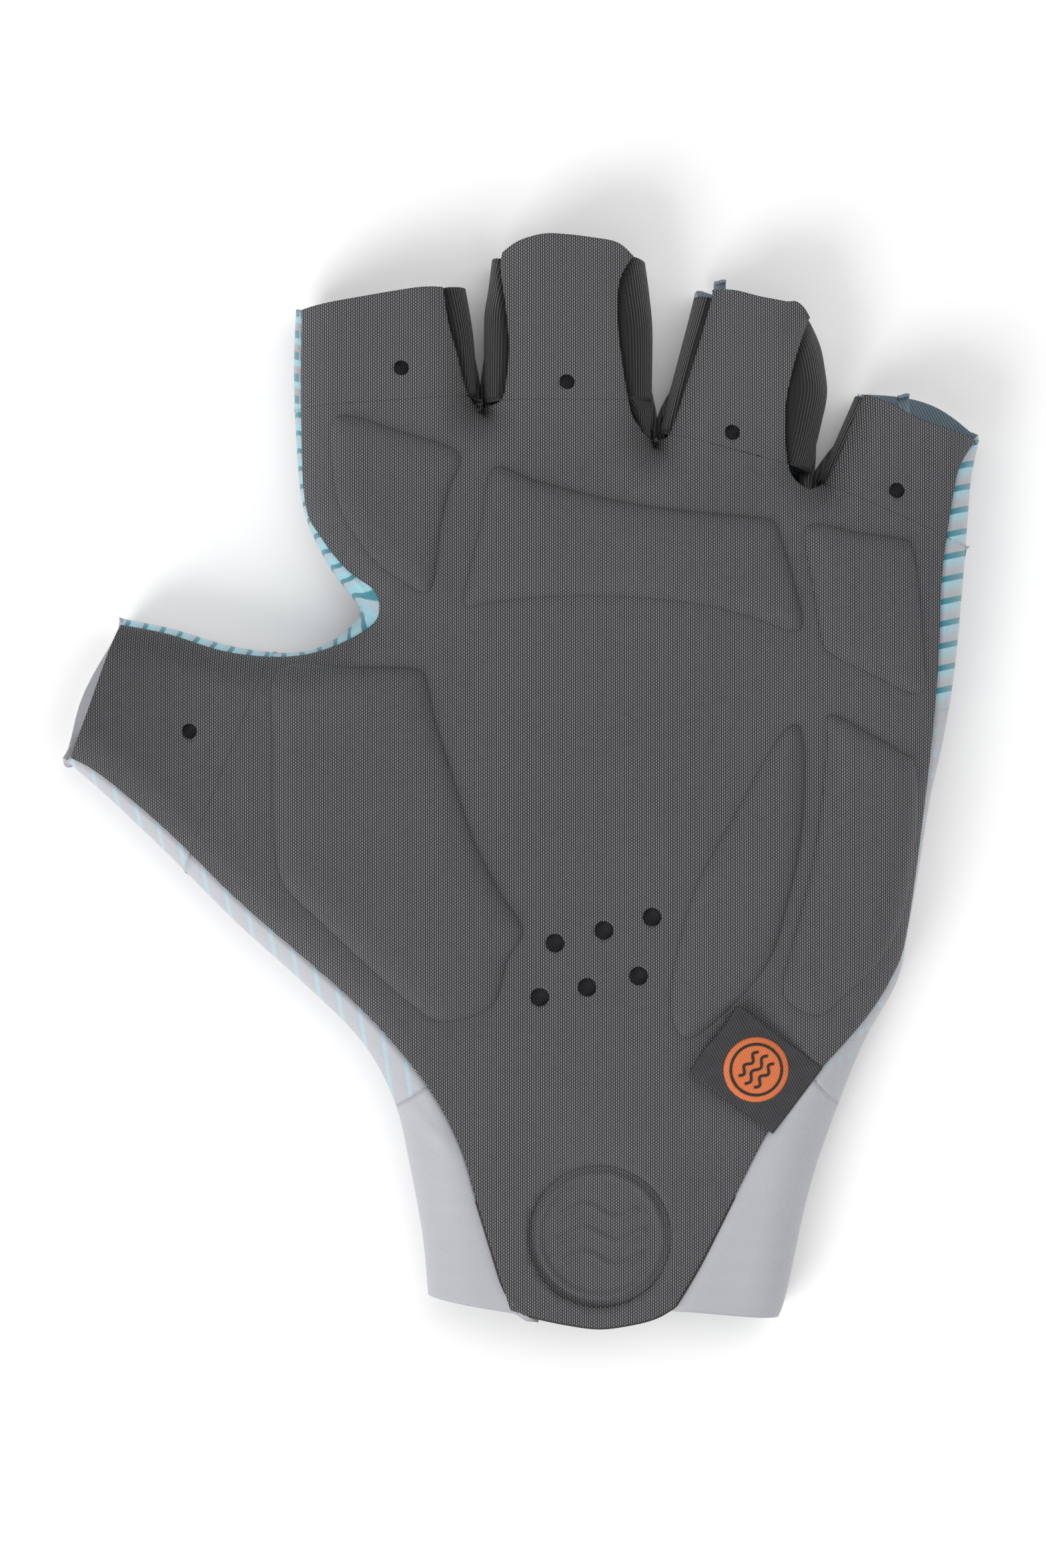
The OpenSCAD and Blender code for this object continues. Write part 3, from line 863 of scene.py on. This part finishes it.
def satin(name: str, base: tuple, printed: Print) -> bpy.types.Material:
    """Sleek diagonal knit, with a print of teal lines and pale cyan bands on some sides."""
    s = Shade(name)
    twill = ((s.x + s.y * 1.3) / 0.42 + (s.y / 0.55).sin() * 0.12).part()
    ridge = (twill - 0.5).size().ramp(0.1, 0.45)
    shade = s.noise(0.06, 2.0) * 0.16 + ridge * 0.1
    deep = tuple(c * 0.8 for c in base[:3]) + (1.0,)
    colour = s.mix(shade * 1.4, base, deep)
    if printed is not Print.NONE:
        if printed is Print.OUTER:
            turn = (s.y - s.x * 0.22 + (s.x / 3.1).sin() * 0.16) / 3.3
            line = (turn.part() - 0.13).size().ramp(0.16, 0.115)
            band = (1.0 - turn).part().ramp(0.05, 0.62, 1, 0)
            zone = s.y.ramp(10.5, 12.5)
            dashes = (s.x / 1.6).part().ramp(0.3, 0.6) * (turn.part() - 0.3).size().ramp(0.2, 0.1)
            low = s.y.ramp(-46, -38) * (1.0 - zone)
            cyan = band * zone * 0.75 + dashes * low * 0.35
            teal = line * zone
        elif printed is Print.INDEX:
            turn = (s.y + s.x * 0.3 + (s.x / 1.1).sin() * 0.25) / 3.3
            teal = (turn.part() - 0.5).size().ramp(0.22, 0.15) * (s.x / 1.3).part().ramp(0.15, 0.35)
            cyan = ((turn + 0.3).part() - 0.5).size().ramp(0.22, 0.12) * 0.8
        elif printed is Print.WEB:
            along = s.attribute("along_mm")
            turn = (along + (s.attribute("across_mm") / 1.7).sin() * 0.6) / 2.7
            teal = (turn.part() - 0.5).size().ramp(0.17, 0.1)
            cyan = ((turn + 0.35).part() - 0.5).size().ramp(0.3, 0.15) * 0.8
        else:
            turn = (s.x + s.y * 0.12) / 3.0
            cyan = (turn.part() - 0.5).size().ramp(0.13, 0.07) * 0.45
            teal = None
        colour = s.mix(cyan, colour, CYAN)
        if teal is not None:
            colour = s.mix(teal, colour, TEAL)
    return s.finish(colour, 0.5, ridge, 0.04, 0.25)


def rib_knit(name: str, base: tuple) -> bpy.types.Material:
    """Black rib knit whose ribs run along the strip, with a line of stitches."""
    s = Shade(name)
    across = s.attribute("across_mm")
    along = s.attribute("along_mm")
    rib = ((across + (along / 5.3).sin() * 0.12) / 0.62).part()
    ridge = (rib - 0.5).size().ramp(0.48, 0.1)
    loops = ((along / 0.5 + (across / 0.62).whole() * 0.5).part() - 0.5).size().ramp(0.5, 0.2)
    height = ridge * (loops * 0.4 + 0.6)
    pale = tuple(c * 1.7 for c in base[:3]) + (1.0,)
    stitch = (across - 3.1).size().ramp(0.26, 0.14) * (along / 1.7).part().ramp(0.42, 0.36)
    colour = s.mix(height * (s.noise(0.5) * 0.5 + 0.4), base, pale)
    return s.finish(s.mix(stitch, colour, srgb(15, 15, 16)), 0.8, height + stitch * 0.8, 0.16, 0.2)


def woven(name: str, base: tuple, pale: tuple, pitch: float) -> bpy.types.Material:
    """Plain close weave."""
    s = Shade(name)
    warp = ((s.x + s.y * 0.55) / pitch).part()
    weft = ((s.y - s.x * 0.55) / pitch).part()
    height = (warp - 0.5).size().ramp(0.5, 0.1) * ((weft - 0.5).size().ramp(0.5, 0.1) * 0.5 + 0.5)
    return s.finish(s.mix(height * (s.noise(0.6) * 0.6 + 0.4), base, pale), 0.7, height, 0.06)


def make_finishes() -> Finishes:
    """Makes every material once."""
    return Finishes(
        palm_mesh=warp_mesh("palm_mesh", srgb(140, 140, 143), srgb(38, 38, 40)),
        mesh_inside=woven("mesh_inside", srgb(34, 34, 37), srgb(66, 68, 72), 0.6),
        lining=woven("lining", srgb(24, 24, 27), srgb(58, 60, 66), 0.5),
        satin=satin("satin", LILAC, Print.NONE),
        outer_satin=satin("outer_satin", LILAC, Print.OUTER),
        index_satin=satin("index_satin", srgb(160, 164, 171), Print.INDEX),
        web_satin=satin("web_satin", srgb(170, 190, 200), Print.WEB),
        thumb_satin=satin("thumb_satin", LILAC, Print.THUMB),
        satin_inside=woven("satin_inside", srgb(88, 103, 114), srgb(128, 146, 156), 0.45),
        rib=rib_knit("rib", srgb(13, 13, 14)),
        hem=woven("hem", srgb(34, 27, 26), srgb(72, 62, 60), 0.4),
        badge=warp_mesh("badge", srgb(140, 140, 143), srgb(38, 38, 40)),
        label=woven("label", srgb(26, 26, 28), srgb(84, 84, 88), 0.42),
        thread=woven("thread", srgb(196, 96, 48), srgb(228, 134, 84), 0.4),
        emblem=woven("emblem", srgb(34, 32, 33), srgb(58, 54, 54), 0.4),
        tape=woven("tape", srgb(92, 110, 122), srgb(136, 154, 164), 0.5),
    )


# -------------------------------------------------------------- assemblies


@dataclass
class Shop:
    """What every assembly is made with."""

    nodes: dict
    form: GloveForm
    cutter: SheetCutter
    strips: StripMaker
    finishes: Finishes
    creases: list
    joints: list

    def outline(self, node: str, face: Face = Face.TOP) -> list[np.ndarray]:
        """A node's edge loops, closed up to the creases."""
        loops = node_loops(self.nodes[node], face)
        for crease in self.creases:
            loops[0] = crease.snapped(loops[0])
        loops[0] = cleaned(loops[0])
        return loops

    def holes(self, node: str) -> tuple:
        """The round holes through a node, as punches."""
        return tuple(
            Punch(p.mean(0), float(np.linalg.norm(p - p.mean(0), axis=1).mean()))
            for p in node_loops(self.nodes[node], Face.TOP)[1:]
        )

    def dress(self, piece, body: str, slot: str, outer, inner=None, thick: float = 0.0, *replaced):
        """Gives a piece its materials and thickness, parents it to its body unless that body is a
        sleeve, and hides the nodes it stands for.

        Args:
            piece: The piece.
            body: The CAD body it is parented to; a sleeve's pieces are left unparented in place.
            slot: The record's material slot. Not used.
            outer: Its material.
            inner: The material of its inner side.
            thick: The fabric's thickness in millimetres, or 0 for a solid piece.
            replaced: The CAD nodes it stands for.

        Returns:
            The piece.
        """
        piece.data.materials.append(outer)
        if thick:
            piece.data.materials.append(inner or outer)
            shell = piece.modifiers.new("thickness", "SOLIDIFY")
            shell.thickness = thick * MM
            shell.offset = -1
            shell.use_rim = True
            shell.material_offset = 1
            shell.material_offset_rim = 0
            self.declare(piece)
        crease = next((c for c in self.creases if c.body == body), None)
        if crease is None:
            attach(piece, body)
        else:
            start = Vector((*crease.at, 7.0)) * MM
            end = start + Vector((*crease.out, 0)) * 9.0 * MM
            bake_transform(piece)
        if replaced:
            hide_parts(*replaced)
        LOG.info("%s: %d vertices", piece.name, len(piece.data.vertices))
        return piece

    def declare(self, piece: bpy.types.Object) -> None:
        """Measures the size a piece of fabric is cut to.

        A panel's cut is its plan before it is raised. A band's cut is its length along the
        rim by its width across, laid out. Pieces too small or too thin for a sheet are logged.

        Args:
            piece: The piece, before its thickness.
        """
        mesh = piece.data
        if "across_mm" in mesh.attributes:
            keys = ("along_mm", "across_mm")
            flat = np.array([[item.value for item in mesh.attributes[k].data] for k in keys]).T
        else:
            flat = np.array([v.co[:2] for v in mesh.vertices]) / MM
        area = 0.0
        for face in mesh.polygons:
            ring = flat[list(face.vertices)]
            after = np.roll(ring, -1, axis=0)
            area += abs(float((ring[:, 0] * after[:, 1] - ring[:, 1] * after[:, 0]).sum())) / 2
        sizes = []
        for angle in np.radians(np.arange(0, 90, 2)):
            turn = np.array([[math.cos(angle), -math.sin(angle)], [math.sin(angle), math.cos(angle)]])
            sizes.append(np.ptp(flat @ turn, axis=0))
        width, length = sorted(min(sizes, key=lambda size: size[0] * size[1]))
        share = area / (width * length)
        if width < LEAST_SHEET or not 0.3 <= share <= 1.001:
            LOG.info("%s: not declared, %.1f by %.1f mm, area share %.2f",
                     piece.name, width, length, share)
            return


@dataclass
class Sleeve:
    """One finger's open sleeve."""

    shop: Shop
    body: str

    def build(self) -> None:
        """Makes the sleeve's front, lining, back and sides."""
        shop, body = self.shop, self.body
        form, cut, looks = shop.form, shop.cutter, shop.finishes
        front = cut.raised(
            f"{body}_front_skin", shop.outline(f"{body}_front")[:1], form.palm,
            punches=shop.holes(f"{body}_front"), edge_rows=PALM_ROWS,
        )
        shop.dress(front, body, "palm_mesh", looks.palm_mesh, looks.mesh_inside, 0.8,
                   f"{body}_front")
        lining = cut.raised(
            f"{body}_lining_skin", shop.outline(f"{body}_lining")[:1],
            lambda xy: form.palm(xy) - 1.3, spacing=2.0, edge_rows=(0.5,),
        )
        shop.dress(lining, body, "lining", looks.lining, looks.lining, 0.3, f"{body}_lining")
        outline = shop.outline(f"{body}_back", Face.UNDER)[0]
        crease = next(c for c in shop.creases if c.body == body)
        off = (outline - crease.at) @ crease.out
        mouth = off > MOUTH_SHARE * off.max()
        along = (outline - crease.at) @ crease.along
        low, high = along[mouth].min(), along[mouth].max()
        arch = np.sin(np.clip((along - low) / (high - low), 0, 1) * math.pi)
        cut_line = outline + np.outer(mouth * arch * PAST_PALM.get(body, 0.0), crease.out)
        back = cut.raised(f"{body}_back_skin", [cut_line], form.back, Skin.BACK)
        inside = looks.satin if body == "thumb" else looks.satin_inside
        shop.dress(back, body, "stretch_satin", looks.satin, inside, 0.8, f"{body}_back")
        names = [n for n in shop.nodes if n.startswith(body) and ("side" in n or "fourch" in n)]
        for run in side_runs(outline, form.wall_lines):
            name = min(names, key=lambda n: self.off(n, run))
            look, slot = self.finish_of(name)
            side = shop.strips.side(f"{name}_skin", run, body)
            shop.dress(side, body, slot, look, looks.satin_inside, 0.8, name)

    def off(self, node: str, run: np.ndarray) -> float:
        """How far a run lies from a node's wall."""
        walls = segments_of(node_loops(self.shop.nodes[node], Face.UNDER)[0])
        return float(distance_to(run, walls).mean())

    def finish_of(self, node: str) -> tuple:
        """The material and slot of a side."""
        looks = self.shop.finishes
        if "fourchette" in node:
            return looks.rib, "rib_knit"
        return {
            "index_side": (looks.index_satin, "gusset_knit"),
            "thumb_upper_side": (looks.web_satin, "gusset_knit"),
            "thumb_lower_side": (looks.thumb_satin, "stretch_satin"),
            "little_side": (looks.outer_satin, "stretch_satin"),
        }[node]


@dataclass
class Hand:
    """The hand: palm fabric, lining, back, sides, cuff and crotch gussets."""

    shop: Shop
    body: str = "hand"

    def build(self) -> None:
        """Makes the hand's pieces."""
        shop = self.shop
        form, cut, looks = shop.form, shop.cutter, shop.finishes
        palm = cut.raised(
            "palm_skin", shop.outline("palm_panel")[:1], form.palm,
            punches=shop.holes("palm_panel"), edge_rows=PALM_ROWS,
        )
        shop.dress(palm, "hand", "palm_mesh", looks.palm_mesh, looks.mesh_inside, 0.8,
                   "palm_panel")
        lining = cut.raised(
            "palm_lining_skin", shop.outline("palm_lining")[:1],
            lambda xy: form.palm(xy) - 1.3, spacing=2.0, edge_rows=(0.5,),
        )
        shop.dress(lining, "hand", "lining", looks.lining, looks.lining, 0.3, "palm_lining")
        outline = shop.outline("back_panel", Face.UNDER)[0]
        back = cut.raised("back_skin", [outline], form.back, Skin.BACK)
        shop.dress(back, "hand", "stretch_satin", looks.satin, looks.satin_inside, 0.8,
                   "back_panel")
        names = ["heel_side", "web_gusset", "outer_side", "crotch_index_middle",
                 "crotch_middle_ring", "crotch_ring_little"]
        lines = {n: segments_of(node_loops(shop.nodes[n], Face.UNDER)[0]) for n in names}
        for number, run in enumerate(side_runs(outline, form.wall_lines)):
            name = min(names, key=lambda n: float(distance_to(run, lines[n]).mean()))
            if name.startswith("crotch"):
                band = shop.strips.side(f"{name}_band_{number}", run, "hand", tuck=0.0)
                shop.dress(band, "hand", "rib_knit", looks.rib, looks.rib, 0.6)
                continue
            look, slot = {
                "heel_side": (looks.thumb_satin, "stretch_satin"),
                "web_gusset": (looks.web_satin, "gusset_knit"),
                "outer_side": (looks.outer_satin, "stretch_satin"),
            }[name]
            shop.dress(shop.strips.side(f"{name}_skin", run, "hand"), "hand", slot, look,
                       looks.satin_inside, 0.8, name)
        self.cuff()
        for left, right in (("index", "middle"), ("middle", "ring"), ("ring", "little")):
            self.crotch(left, right)

    def crotch(self, left: str, right: str, reach: float = 9.0) -> None:
        """Makes the rib knit that folds down between two sleeves.

        Args:
            left: The sleeve on the left.
            right: The sleeve on the right.
            reach: How far up between the sleeves the fold goes.
        """
        shop = self.shop
        node = f"crotch_{left}_{right}"
        seat = node_loops(shop.nodes[node], Face.UNDER)[0].mean(0)
        hand = shop.outline("back_panel", Face.UNDER)[0]
        near = hand[np.linalg.norm(hand - seat, axis=1) < 4.5]
        foot = near[np.argmin(near[:, 1])]
        sides = []
        for sleeve in (left, right):
            outline = shop.outline(f"{sleeve}_back", Face.UNDER)[0]
            run = min(
                side_runs(outline, shop.form.wall_lines),
                key=lambda r: np.linalg.norm(r - seat, axis=1).min(),
            )
            if np.linalg.norm(run[0] - seat) > np.linalg.norm(run[-1] - seat):
                run = run[::-1]
            path = np.vstack([foot, run])
            far = np.concatenate([[0], np.cumsum(np.linalg.norm(np.diff(path, axis=0), axis=1))])
            sides.append((far, path))
        share = np.linspace(-0.25, 1.25, 19)[None, :, None]
        spread = np.linspace(0, 1, 25)[:, None]
        at = reach * spread * (0.55 + 0.9 * np.abs(share[..., 0] - 0.5))
        left_side, right_side = (
            np.dstack([np.interp(at, far, path[:, k]) for k in range(2)])
            for far, path in sides
        )
        flat = left_side * (1 - share) + right_side * share
        width = 0.5 * (1 - spread) * (share[..., 0] - 0.5)
        flat[..., 0] += 3.2 * width
        flat[..., 1] -= 1.4 * (1 - spread) * (1 - 0.3 * np.abs(share[..., 0] - 0.5))
        fall = 10.6 - 8.2 * spread**0.8
        z = fall - 1.3 * np.sin(np.clip(share[..., 0], 0, 1) * math.pi)
        z += 0.35 * np.sin(spread * 9 + share[..., 0] * 2)
        z = np.minimum(z, shop.form.palm(flat.reshape(-1, 2)).reshape(z.shape) - 1.1)
        piece = grid_piece(
            f"{node}_fold", np.dstack([flat, z]),
            {"along_mm": np.broadcast_to(reach * spread, z.shape),
             "across_mm": np.broadcast_to(share[..., 0] * 3.0, z.shape)},
        )
        shop.dress(piece, self.body, "rib_knit", shop.finishes.rib, None, 0.6, node)

    def cuff(self) -> None:
        """Makes the stretch cuff's back and its two sides."""
        shop = self.shop
        form, cut, looks = shop.form, shop.cutter, shop.finishes
        outline = shop.outline("stretch_cuff", Face.UNDER)[0]
        low = outline[:, 1] < outline[:, 1].min() + 6
        low &= np.abs(outline[:, 0] - outline[:, 0].mean()) < 17
        cut_line = outline + np.outer(low, [0.0, 1.0])
        back = cut.raised("cuff_back_skin", [cut_line], form.back, Skin.BACK)
        shop.dress(back, "hand", "stretch_satin", looks.satin, looks.satin_inside, 0.8,
                   "stretch_cuff")
        wrist = outline[:, 1].min()
        lips = node_loops(shop.nodes["stretch_cuff"], Face.TOP)[:2]
        for run in cuff_runs(outline):
            side = "outer" if run[:, 0].mean() > outline[:, 0].mean() else "inner"
            lip = min(lips, key=lambda p: abs(p[:, 0].mean() - run[:, 0].mean()))
            low = lip[lip[:, 1] < wrist + 5]
            corner = low[np.argmin(np.abs(low[:, 0] - outline[:, 0].mean()))] + [0, 0.8]
            corners = (corner, None) if side == "outer" else (None, corner)
            piece = shop.strips.side(f"cuff_{side}_skin", run, "hand", corners, tuck=0.6)
            shop.dress(piece, "hand", "stretch_satin", looks.satin, looks.satin_inside, 0.8,
                       "stretch_cuff")


def cuff_runs(outline: np.ndarray) -> list[np.ndarray]:
    """The two upright sides of the cuff's outline, each anticlockwise."""
    rows = segments_of(outline)
    step = rows[:, 2:] - rows[:, :2]
    upright = np.abs(step[:, 1]) > np.abs(step[:, 0])
    runs = []
    for side in (1, -1):
        mine = rows[upright & (np.sign(rows[:, 0] - outline[:, 0].mean()) == side)]
        mine = mine[np.argsort(mine[:, 1] * side)]
        runs.append(np.vstack([mine[:, :2], mine[-1:, 2:]]))
    return runs


@dataclass
class GripPads:
    """The raised pads on the palm."""

    shop: Shop
    crown: float = 1.6
    sink: float = 0.35
    roll: float = 4.2

    def build(self) -> None:
        """Makes each pad as a crowned closed form."""
        for node in [n for n in self.shop.nodes if n.endswith("_pad")]:
            loop = node_loops(self.shop.nodes[node], Face.TOP)[0]
            self.pad(node, loop)

    def pad(self, node: str, loop: np.ndarray) -> None:
        """Makes one pad.

        Args:
            node: The CAD node it stands for.
            loop: Its outline.
        """
        shop = self.shop
        bm = shop.cutter.flat(loop, 0.9, (0.1, 0.16, 0.24, 0.34, 0.45))
        bmesh.ops.remove_doubles(bm, verts=bm.verts[:], dist=0.05 * MM)
        bmesh.ops.triangulate(bm, faces=[f for f in bm.faces if len(f.verts) > 4])
        grown = bmesh.ops.extrude_face_region(bm, geom=bm.faces[:], use_keep_orig=True)
        lids = {v for v in grown["geom"] if isinstance(v, bmesh.types.BMVert)}
        xy = np.array([v.co.xy[:] for v in bm.verts]) / MM
        base = shop.form.palm(xy)
        share = np.clip(distance_to(xy, segments_of(loop)) / self.roll, 0, 1)
        dome = np.sqrt(1 - (1 - share) ** 2)
        top = base - self.sink * 0.4 + (self.crown + self.sink * 0.4) * dome
        for v, low, high in zip(bm.verts, base - self.sink - 0.3, top):
            v.co.z = (high if v in lids else low) * MM
        bmesh.ops.recalc_face_normals(bm, faces=bm.faces[:])
        for f in bm.faces:
            f.smooth = True
        piece = shop.cutter.finished(f"{node}_skin", bm)
        shop.dress(piece, "hand", "pad_mesh", shop.finishes.palm_mesh, None, 0.0, node)


@dataclass
class Badge:
    """The round debossed badge at the wrist, with a plain pattern of rings and waves."""

    shop: Shop
    sunk: float = 0.75

    def relief(self, xy: np.ndarray, centre: np.ndarray, radius: float) -> np.ndarray:
        """Height of the pattern above the badge's ground."""
        p = (xy - centre) / radius
        r = np.hypot(p[:, 0], p[:, 1])
        ring = smooth(0.06 - np.abs(r - 0.86), 0, 0.03)
        wave = p[:, 1] + 0.09 * np.sin(p[:, 0] * 7.0)
        bars = np.zeros(len(p))
        for level in (-0.34, 0.0, 0.34):
            bars = np.maximum(bars, smooth(0.07 - np.abs(wave - level), 0, 0.04))
        bars *= smooth(0.68 - r, 0, 0.05)
        return 0.34 * np.maximum(ring, bars)

    def build(self) -> None:
        """Makes the badge."""
        shop = self.shop
        loop = node_loops(shop.nodes["wrist_badge"], Face.TOP)[0]
        centre = loop.mean(0)
        radius = float(np.linalg.norm(loop - centre, axis=1).mean())
        turn = np.linspace(0, 2 * math.pi, 97)[:-1]
        ring = centre + np.column_stack([np.cos(turn), np.sin(turn)]) * (radius + 0.5)
        piece = shop.cutter.raised(
            "wrist_badge_skin", [ring],
            lambda xy: shop.form.palm(xy) - self.sunk + self.relief(xy, centre, radius),
            spacing=0.35, edge_rows=(0.2,),
        )
        shop.dress(piece, "hand", "badge", shop.finishes.badge, None, 0.5, "wrist_badge")


@dataclass
class Trim:
    """The raw hem at the wrist and the seam tags."""

    shop: Shop

    def build(self) -> None:
        """Makes the trim."""
        self.hem()
        for sleeve in ("ring", "little"):
            self.tag(sleeve)

    def hem(self) -> None:
        """Makes the dark raw edge of the palm fabric round the wrist."""
        shop = self.shop
        hem = segments_of(node_loops(shop.nodes["wrist_hem"], Face.TOP)[0])
        loop = shop.outline("palm_panel")[0]
        on = distance_to(loop, hem) < 0.05
        first = int(np.argmax(on & ~np.roll(on, 1)))
        order = (np.arange(len(loop)) + first) % len(loop)
        path = resampled(loop[order][: int(on.sum())], 0.6)
        z = shop.form.palm(path) - 0.5
        cord = cord_along("wrist_hem_edge", np.column_stack([path, z]), 0.65, 1.0)
        shop.dress(cord, "hand", "bound_edge", shop.finishes.hem, None, 0.0, "wrist_hem")

    def tag(self, sleeve: str) -> None:
        """Makes one folded end of seam tape."""
        shop = self.shop
        node = f"{sleeve}_seam_tag"
        low, high = (np.array(c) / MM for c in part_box(node))
        at = (low + high) / 2
        width, length = (high - low)[:2]
        u = np.linspace(-0.5, 0.5, 9)
        v = np.linspace(0, 1, 15)
        fold = 1.1 * np.sin(v * math.pi * 0.9)
        y = high[1] - length * (0.5 + 0.5 * np.cos(v * math.pi * 1.2)) + 0.2
        xyz = np.zeros((15, 9, 3))
        xyz[..., 0] = at[0] + u[None, :] * width * (1 - 0.15 * v[:, None])
        xyz[..., 1] = y[:, None] + 0.15 * np.sin(u * 5)[None, :]
        top = float(shop.form.palm(at[None, :2])[0]) - 1.2
        xyz[..., 2] = top - fold[:, None]
        piece = grid_piece(f"{node}_skin", xyz, {})
        shop.dress(piece, sleeve, "seam_tape", shop.finishes.tape, None, 0.35, node)


@dataclass
class Label:
    """The woven tab at the cuff's seam, with an embroidered disc."""

    shop: Shop
    lift: float = 1.1
    curl: float = 0.9

    def build(self) -> None:
        """Makes the tab and its disc."""
        shop = self.shop
        loop = node_loops(shop.nodes["label_tab"], Face.TOP)[0]
        seam = np.array(next(j["pos_m"] for j in shop.joints if j["name"] == "label_flip"))
        ends = sorted(loop, key=lambda p: np.linalg.norm(p - seam[:2] / MM))
        start = (ends[0] + ends[1]) / 2
        tip = (ends[2] + ends[3]) / 2
        way = (tip - start) / np.linalg.norm(tip - start)
        aside = np.array([-way[1], way[0]])
        length = float(np.linalg.norm(tip - start))
        width = float(np.linalg.norm(ends[0] - ends[1]))
        ground = float(shop.form.palm(start[None])[0])
        far = float(shop.form.palm(tip[None])[0])

        def height(u: np.ndarray, v: np.ndarray) -> np.ndarray:
            slope = ground + (far - ground) * u
            arch = self.lift * np.sin(np.clip(u, 0, 1) * math.pi / 2)
            return slope + 0.35 + arch + self.curl * u**3 - 0.35 * (2 * v) ** 2 * (0.3 + u)

        u = np.linspace(0, 1, 41)
        v = np.linspace(-0.5, 0.5, 33)
        corner = 1 - 0.035 * np.clip((u - 0.93) / 0.07, 0, 1) ** 2
        flat = (
            start + u[:, None, None] * length * way
            + (v[None, :] * corner[:, None])[..., None] * width * aside
        )
        flat = flat + 0.12 * np.sin(v * 9)[None, :, None] * way * u[:, None, None]
        z = height(u[:, None], v[None, :])
        tab = grid_piece("label_tab_skin", np.dstack([flat, z]), {})
        shop.dress(tab, "label", "label_satin", shop.finishes.label, None, 0.55, "label_tab")
        disc_loop = node_loops(shop.nodes["label_emblem"], Face.TOP)[0]
        centre = disc_loop.mean(0)
        radius = float(np.linalg.norm(disc_loop - centre, axis=1).mean())

        def on_tab(xy: np.ndarray) -> np.ndarray:
            p = xy - start
            r = np.hypot(*(xy - centre).T)
            dome = 0.38 * np.sqrt(np.clip(1 - (r / radius) ** 8, 0, 1))
            return height(p @ way / length, p @ aside / width) + dome

        turn = np.linspace(0, 2 * math.pi, 73)[:-1]
        ring = centre + np.column_stack([np.cos(turn), np.sin(turn)]) * radius
        disc = shop.cutter.raised("label_disc", [ring], on_tab, spacing=0.4, edge_rows=(0.15,))
        shop.dress(disc, "label", "label_thread", shop.finishes.thread, None, 0.3,
                   "label_emblem")
        self.marks(on_tab, centre, radius, way, aside)

    def marks(self, on_tab, centre, radius, way, aside) -> None:
        """Makes the disc's plain pattern: a ring and three waves in dark thread."""
        shop = self.shop
        turn = np.linspace(0, 2 * math.pi, 81)
        rows = [centre + radius * 0.78 * np.column_stack([np.cos(turn), np.sin(turn)])]
        t = np.linspace(-0.55, 0.55, 41)
        for level, reach in ((-0.3, 0.85), (0.0, 1.0), (0.3, 0.85)):
            wave = level + 0.08 * np.sin(t * 12)
            rows.append(centre + radius * (np.outer(t * reach, aside) + np.outer(wave, way)))
        for k, row in enumerate(rows):
            z = on_tab(row) + 0.03
            cord = cord_along(f"label_mark_{k}", np.column_stack([row, z]), 0.42, 0.3)
            shop.dress(cord, "label", "label_thread", shop.finishes.emblem)


def stage() -> None:
    """Lays the pale table and sets the soft light and the camera."""
    bm = bmesh.new()
    bmesh.ops.create_grid(bm, x_segments=1, y_segments=1, size=1.5)
    mesh = bpy.data.meshes.new("table")
    bm.to_mesh(mesh)
    bm.free()
    table = bpy.data.objects.new("table", mesh)
    table.location.z = -0.0002
    bpy.context.scene.collection.objects.link(table)
    paper = bpy.data.materials.new("paper")
    paper.use_nodes = True
    shader = next(n for n in paper.node_tree.nodes if n.type == "BSDF_PRINCIPLED")
    shader.inputs["Base Color"].default_value = (0.97, 0.97, 0.97, 1)
    shader.inputs["Roughness"].default_value = 0.9
    mesh.materials.append(paper)
    world = bpy.data.worlds.new("studio")
    world.use_nodes = True
    sky = world.node_tree.nodes["Background"]
    sky.inputs[0].default_value = (1, 1, 1, 1)
    sky.inputs[1].default_value = 0.6
    bpy.context.scene.world = world
    bpy.context.scene.view_settings.view_transform = "Standard"
    for name, place, size, power in (
        ("key", (-0.7, -0.75, 0.7), 0.7, 10.5),
        ("fill", (0.5, 0.5, 0.9), 1.2, 5.0),
    ):
        data = bpy.data.lights.new(name, "AREA")
        data.size = size
        data.energy = power
        lamp = bpy.data.objects.new(name, data)
        lamp.location = place
        lamp.rotation_euler = Vector(place).to_track_quat("Z", "Y").to_euler()
        bpy.context.scene.collection.objects.link(lamp)
    lens = bpy.data.cameras.new("camera")
    lens.lens = 100
    lens.clip_start = 0.01
    camera = bpy.data.objects.new("camera", lens)
    camera.location = (0, 0, 0.665)
    bpy.context.scene.collection.objects.link(camera)
    bpy.context.scene.camera = camera


def main() -> None:
    """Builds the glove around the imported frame."""
    logging.basicConfig(level=logging.INFO, format="%(relativeCreated)d %(message)s")
    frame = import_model()
    nodes = frame["nodes"]
    creases = [
        Crease(
            j["child"], np.array(j["pos_m"][:2]) / MM,
            np.array(j["axis"][:2]) / np.linalg.norm(j["axis"][:2]),
        )
        for j in frame["joints"] if j["child"] in SLEEVES
    ]
    creases = [c if c.out[1] > 0 or c.body == "thumb" else Crease(c.body, c.at, -c.along)
               for c in creases]
    form = GloveForm(nodes, creases)
    edges = {}
    for body in ("hand", *SLEEVES):
        name = "palm_panel" if body == "hand" else f"{body}_front"
        rows = segments_of(node_loops(nodes[name], Face.TOP)[0])
        edges[body] = rows[np.linalg.norm(rows[:, 2:] - rows[:, :2], axis=1) < 8]
    shop = Shop(
        nodes, form, SheetCutter(form), StripMaker(form, creases, edges),
        make_finishes(), creases, frame["joints"],
    )
    Hand(shop).build()
    for body in SLEEVES:
        Sleeve(shop, body).build()
    GripPads(shop).build()
    Badge(shop).build()
    Trim(shop).build()
    Label(shop).build()
    stage()


if __name__ == "__main__":
    main()
